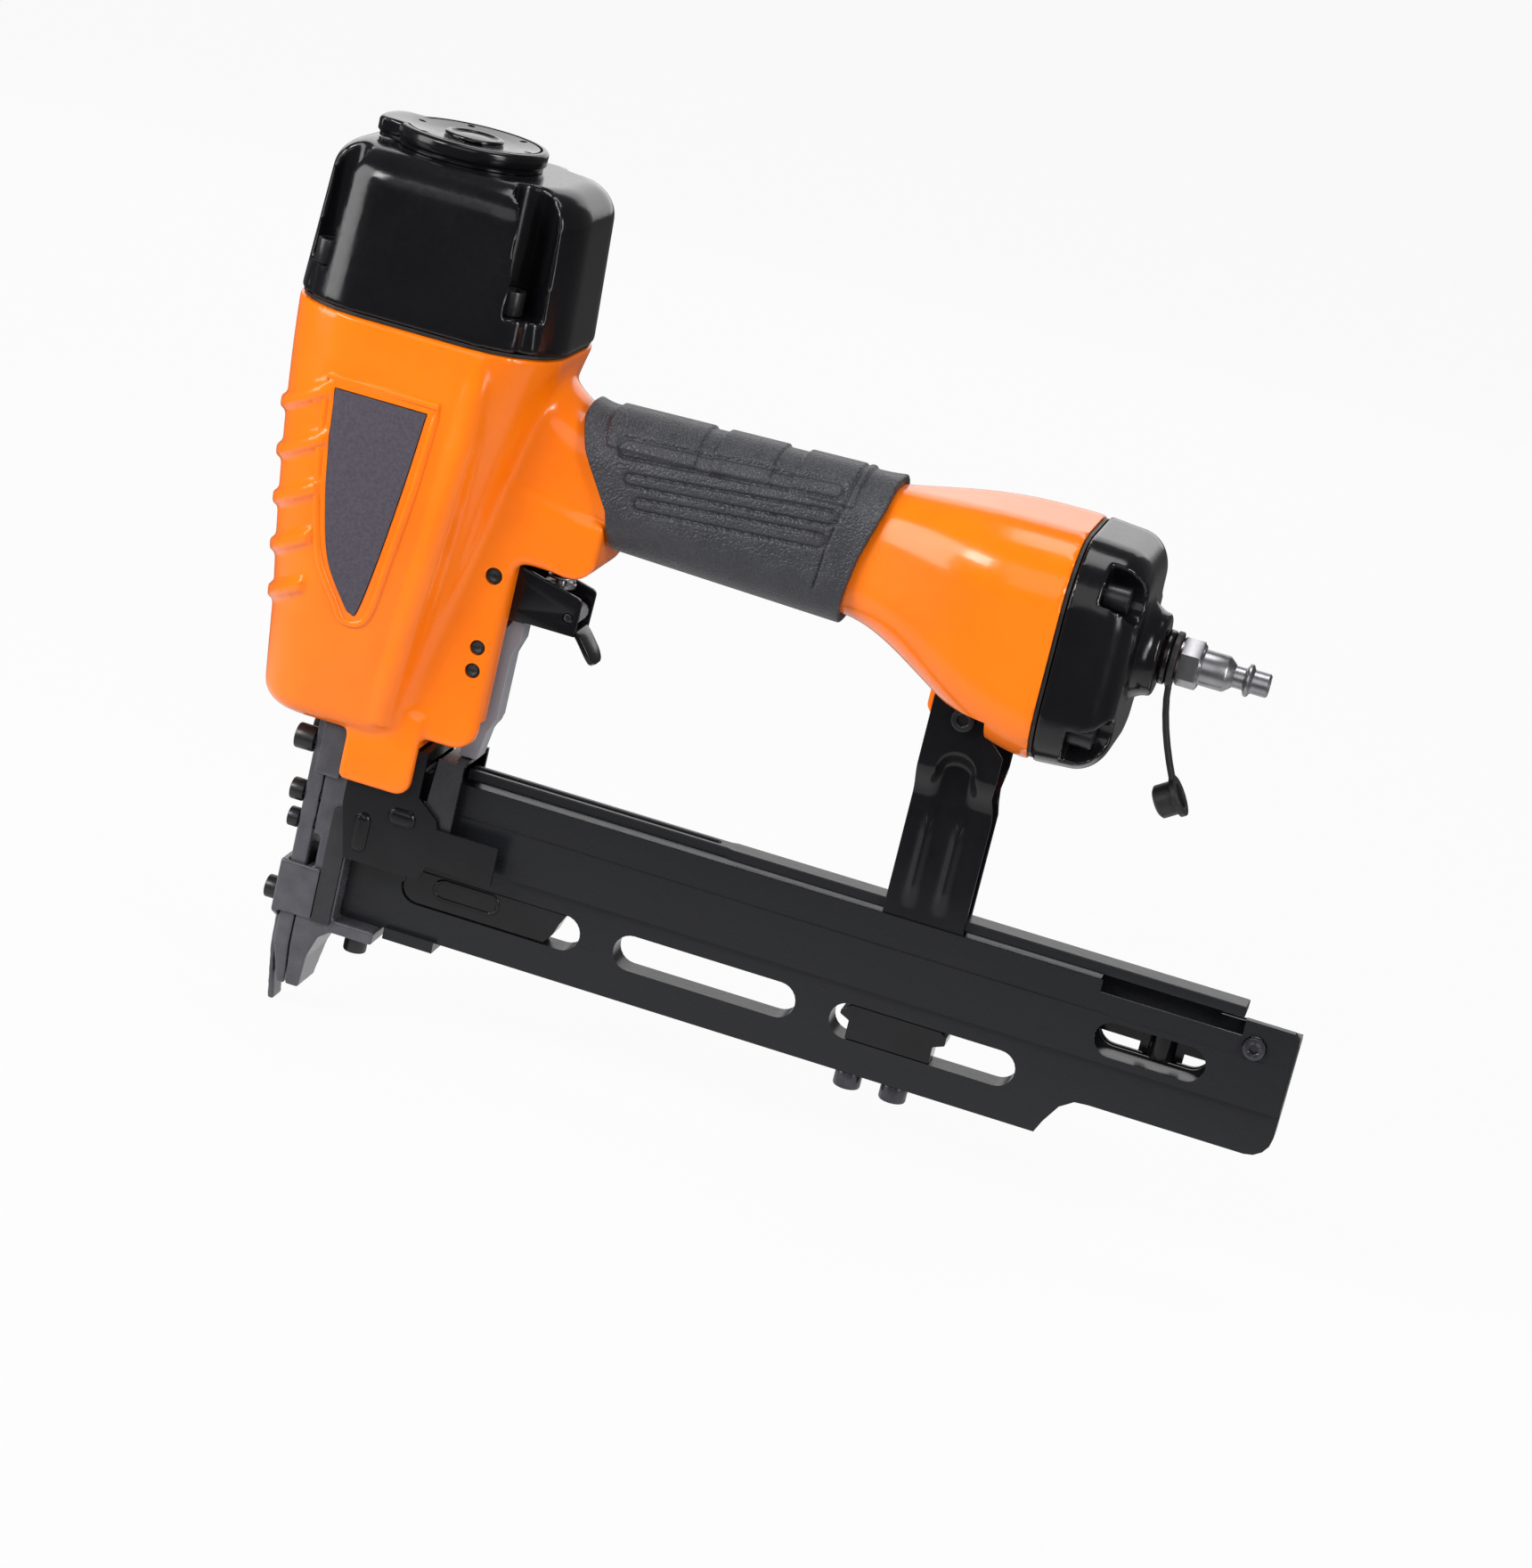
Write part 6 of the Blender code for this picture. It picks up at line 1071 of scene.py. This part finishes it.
def makeFasteners():
    sizes = screwSizes
    screwRow("capScrew", "cap_screw", "Z", joinery["capScrews"], sizes["cap"])
    upward = sorted(joinery["endScrews"], key=lambda place: place[1])
    screwRow("endScrew", "end_cap_screw", "X", upward, sizes["end"])
    noseBolts = [(y, *row) for row in noseRows for y in (-9.3, 9.3)]
    for number, (y, z, head, tall) in enumerate(noseBolts, 1):
        size = dict(sizes["nose"], head=head, tall=tall)
        socketScrew(f"noseBolt{number}", f"nose_bolt_{number}", "X", (y, z), **size)
    socketScrew("footBolt", "foot_bolt", "X", (0, 29.5), **sizes["foot"])
    bright = dict(sizes["latch"], finish=boltSteel, slot="bright_steel")
    socketScrew("latchScrew", "latch_screw", "Y", (321.8, 80.4), **bright)
    socketScrew("magazineBolt", "magazine_bolt", "Z", (18.4, 0), **sizes["magazine"])
    places = [(x, 0) for x in joinery["strutBolts"]]
    screwRow("strutBolt", "strut_bolt", "Z", places, sizes["strutBolt"], finish=boltSteel, slot="grey_steel")
    socketScrew("strutScrew", "strut_screw", "Y", joinery["strutScrew"], **sizes["strutScrew"])
    for pin in pins:
        pinForm(*pin)
    print("screws and pins made")


makeFasteners()

# coil round the valve stem

coil = dict(
    x=61.0, radius=4.4, wire=0.5, turns=2.3, low=163.4, high=167.1, steps=110)


def makeCoil():
    c = coil
    rings = []
    for i in range(c["steps"] + 1):
        share = i / c["steps"]
        turn = 2 * pi * c["turns"] * share
        out = Vector((cos(turn), sin(turn), 0))
        middle = Vector((c["x"], 0, mix(c["low"], c["high"], share))) + out * c["radius"]
        rings.append([middle + (out * cos(t) + Vector((0, 0, sin(t)))) * c["wire"]
                      for t in (2 * pi * k / 12 for k in range(12))])
    made = toObject("valveCoil", loftFrom(rings))
    dress(made, plugSteel, "bright_steel", "valve_spring", sharp=60)
    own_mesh(made)


makeCoil()

# pressed and machined pieces that keep their CAD form, edges broken

pressed = [("tripLever", "trip_lever", armSteel, "grey_steel", "trip_lever", 0.25),
           ("safetyArm", "safety_arm", armSteel, "grey_steel", "safety", 0.4),
           ("safetyYoke", "safety_yoke", yokeBlack, "gloss_black", "safety", 0.5),
           ("noseBracket", "nose_bracket", stampedBlack, "gloss_black", "stapler", 0.7),
           ("magazineBody", "magazine_body", satinBlack, "satin_black", "stapler", 0.5),
           ("magazineCover", "magazine_cover", satinBlack, "satin_black", "magazine_cover", 0.45),
           ("pusherShoe", "pusher", darkPhosphate, "dark_phosphate", "pusher", 0.25),
           ("latchLeaf", "latch_spring", stampedBlack, "gloss_black", "stapler", 0.2),
           ("strutFoot", "strut_foot", stampedBlack, "gloss_black", "stapler", 0.4),
           ("frontFiller", "magazine_filler", stampedBlack, "gloss_black", "stapler", 0.4)]
for row in pressed:
    softCopy(*row)
castCopy("contactFoot", "contact_foot", darkPhosphate, "dark_phosphate", "safety", 0.45, 12)
castCopy("noseBody", "nose_body", darkPhosphate, "dark_phosphate", "stapler", 0.45, 9,
         [((-1.6, -6.5, -5), (1.1, 6.5, 110))])
castCopy("noseFrontPlate", "nose_front_plate", darkPhosphate, "dark_phosphate", "stapler", 0.45, 7)

bracketBeads = dict(
    places=[(16.2, 63.5, 2.9, 7.2), (29.25, 72.5, 5.0, 3.2)], rise=1.6, plate=1.3, sunk=0.3, shrink=2.6,
    corner=2.8)
fillerRing = dict(
    middle=(54.0, 48.0), half=(11.4, 3.3), face=4.1, radius=0.75, sunk=0.2)


def beadDome(x, z, wide, tall, face, side):
    b = bracketBeads
    rings = []
    for i in range(11):
        turn = radians(88 * i / 10)
        inset = b["shrink"] * (1 - cos(turn))
        y = side * (face - b["sunk"] + (b["rise"] + b["sunk"]) * sin(turn))
        across, up = wide - inset, tall - inset
        ring = roundRing(x - across, x + across, z - up, z + up, b["corner"] - inset, 8)
        rings.append([(u, y, w) for u, w in ring])
    return toObject("bead", loftFrom(rings))


def fillerHoop(side):
    f = fillerRing
    (x, z), (wide, tall), radius = f["middle"], f["half"], f["radius"]
    path = roundRing(x - wide, x + wide, z - tall, z + tall, tall, 16)
    turns = [2 * pi * k / 10 for k in range(10)]
    tube = []
    for i, (u, w) in enumerate(path):
        (u0, w0), (u1, w1) = path[i - 1], path[(i + 1) % len(path)]
        ahead = Vector((u1 - u0, w1 - w0)).normalized()
        tube.append([(u + ahead.y * radius * cos(t), side * (f["face"] - f["sunk"] + radius * sin(t)),
                      w - ahead.x * radius * cos(t)) for t in turns])
    return toObject("hoop", closedLoft(tube))


def makeBeads():
    b = bracketBeads
    face = max(abs(corner[1]) for corner in nodes["nose_bracket"].bound_box) * 1000 - b["plate"]
    domes = [beadDome(*place, face, side) for side in (-1, 1) for place in b["places"]]
    dress(gather("bracketBeads", domes), stampedBlack, "gloss_black", sharp=50)
    hoops = [fillerHoop(side) for side in (-1, 1)]
    dress(gather("fillerRing", hoops), stampedBlack, "gloss_black", sharp=60)


makeBeads()
print("pressed and cast pieces dressed:", len(pressed) + 3)

# CAD nodes that stay as they are, with better finishes

kept = [(softRubber, ("cap_gasket", "end_cap_gasket", "bumper", "piston_ring")),
        (innerAluminium, ("cylinder_sleeve", "piston", "head_valve", "valve_body")),
        (plugSteel, ("driver_blade", "valve_stem"))]
for finish, names in kept:
    for place in [place for name in names for place in nodes[name].material_slots]:
        place.material = finish
print("kept nodes finished:", sum(len(names) for finish, names in kept))
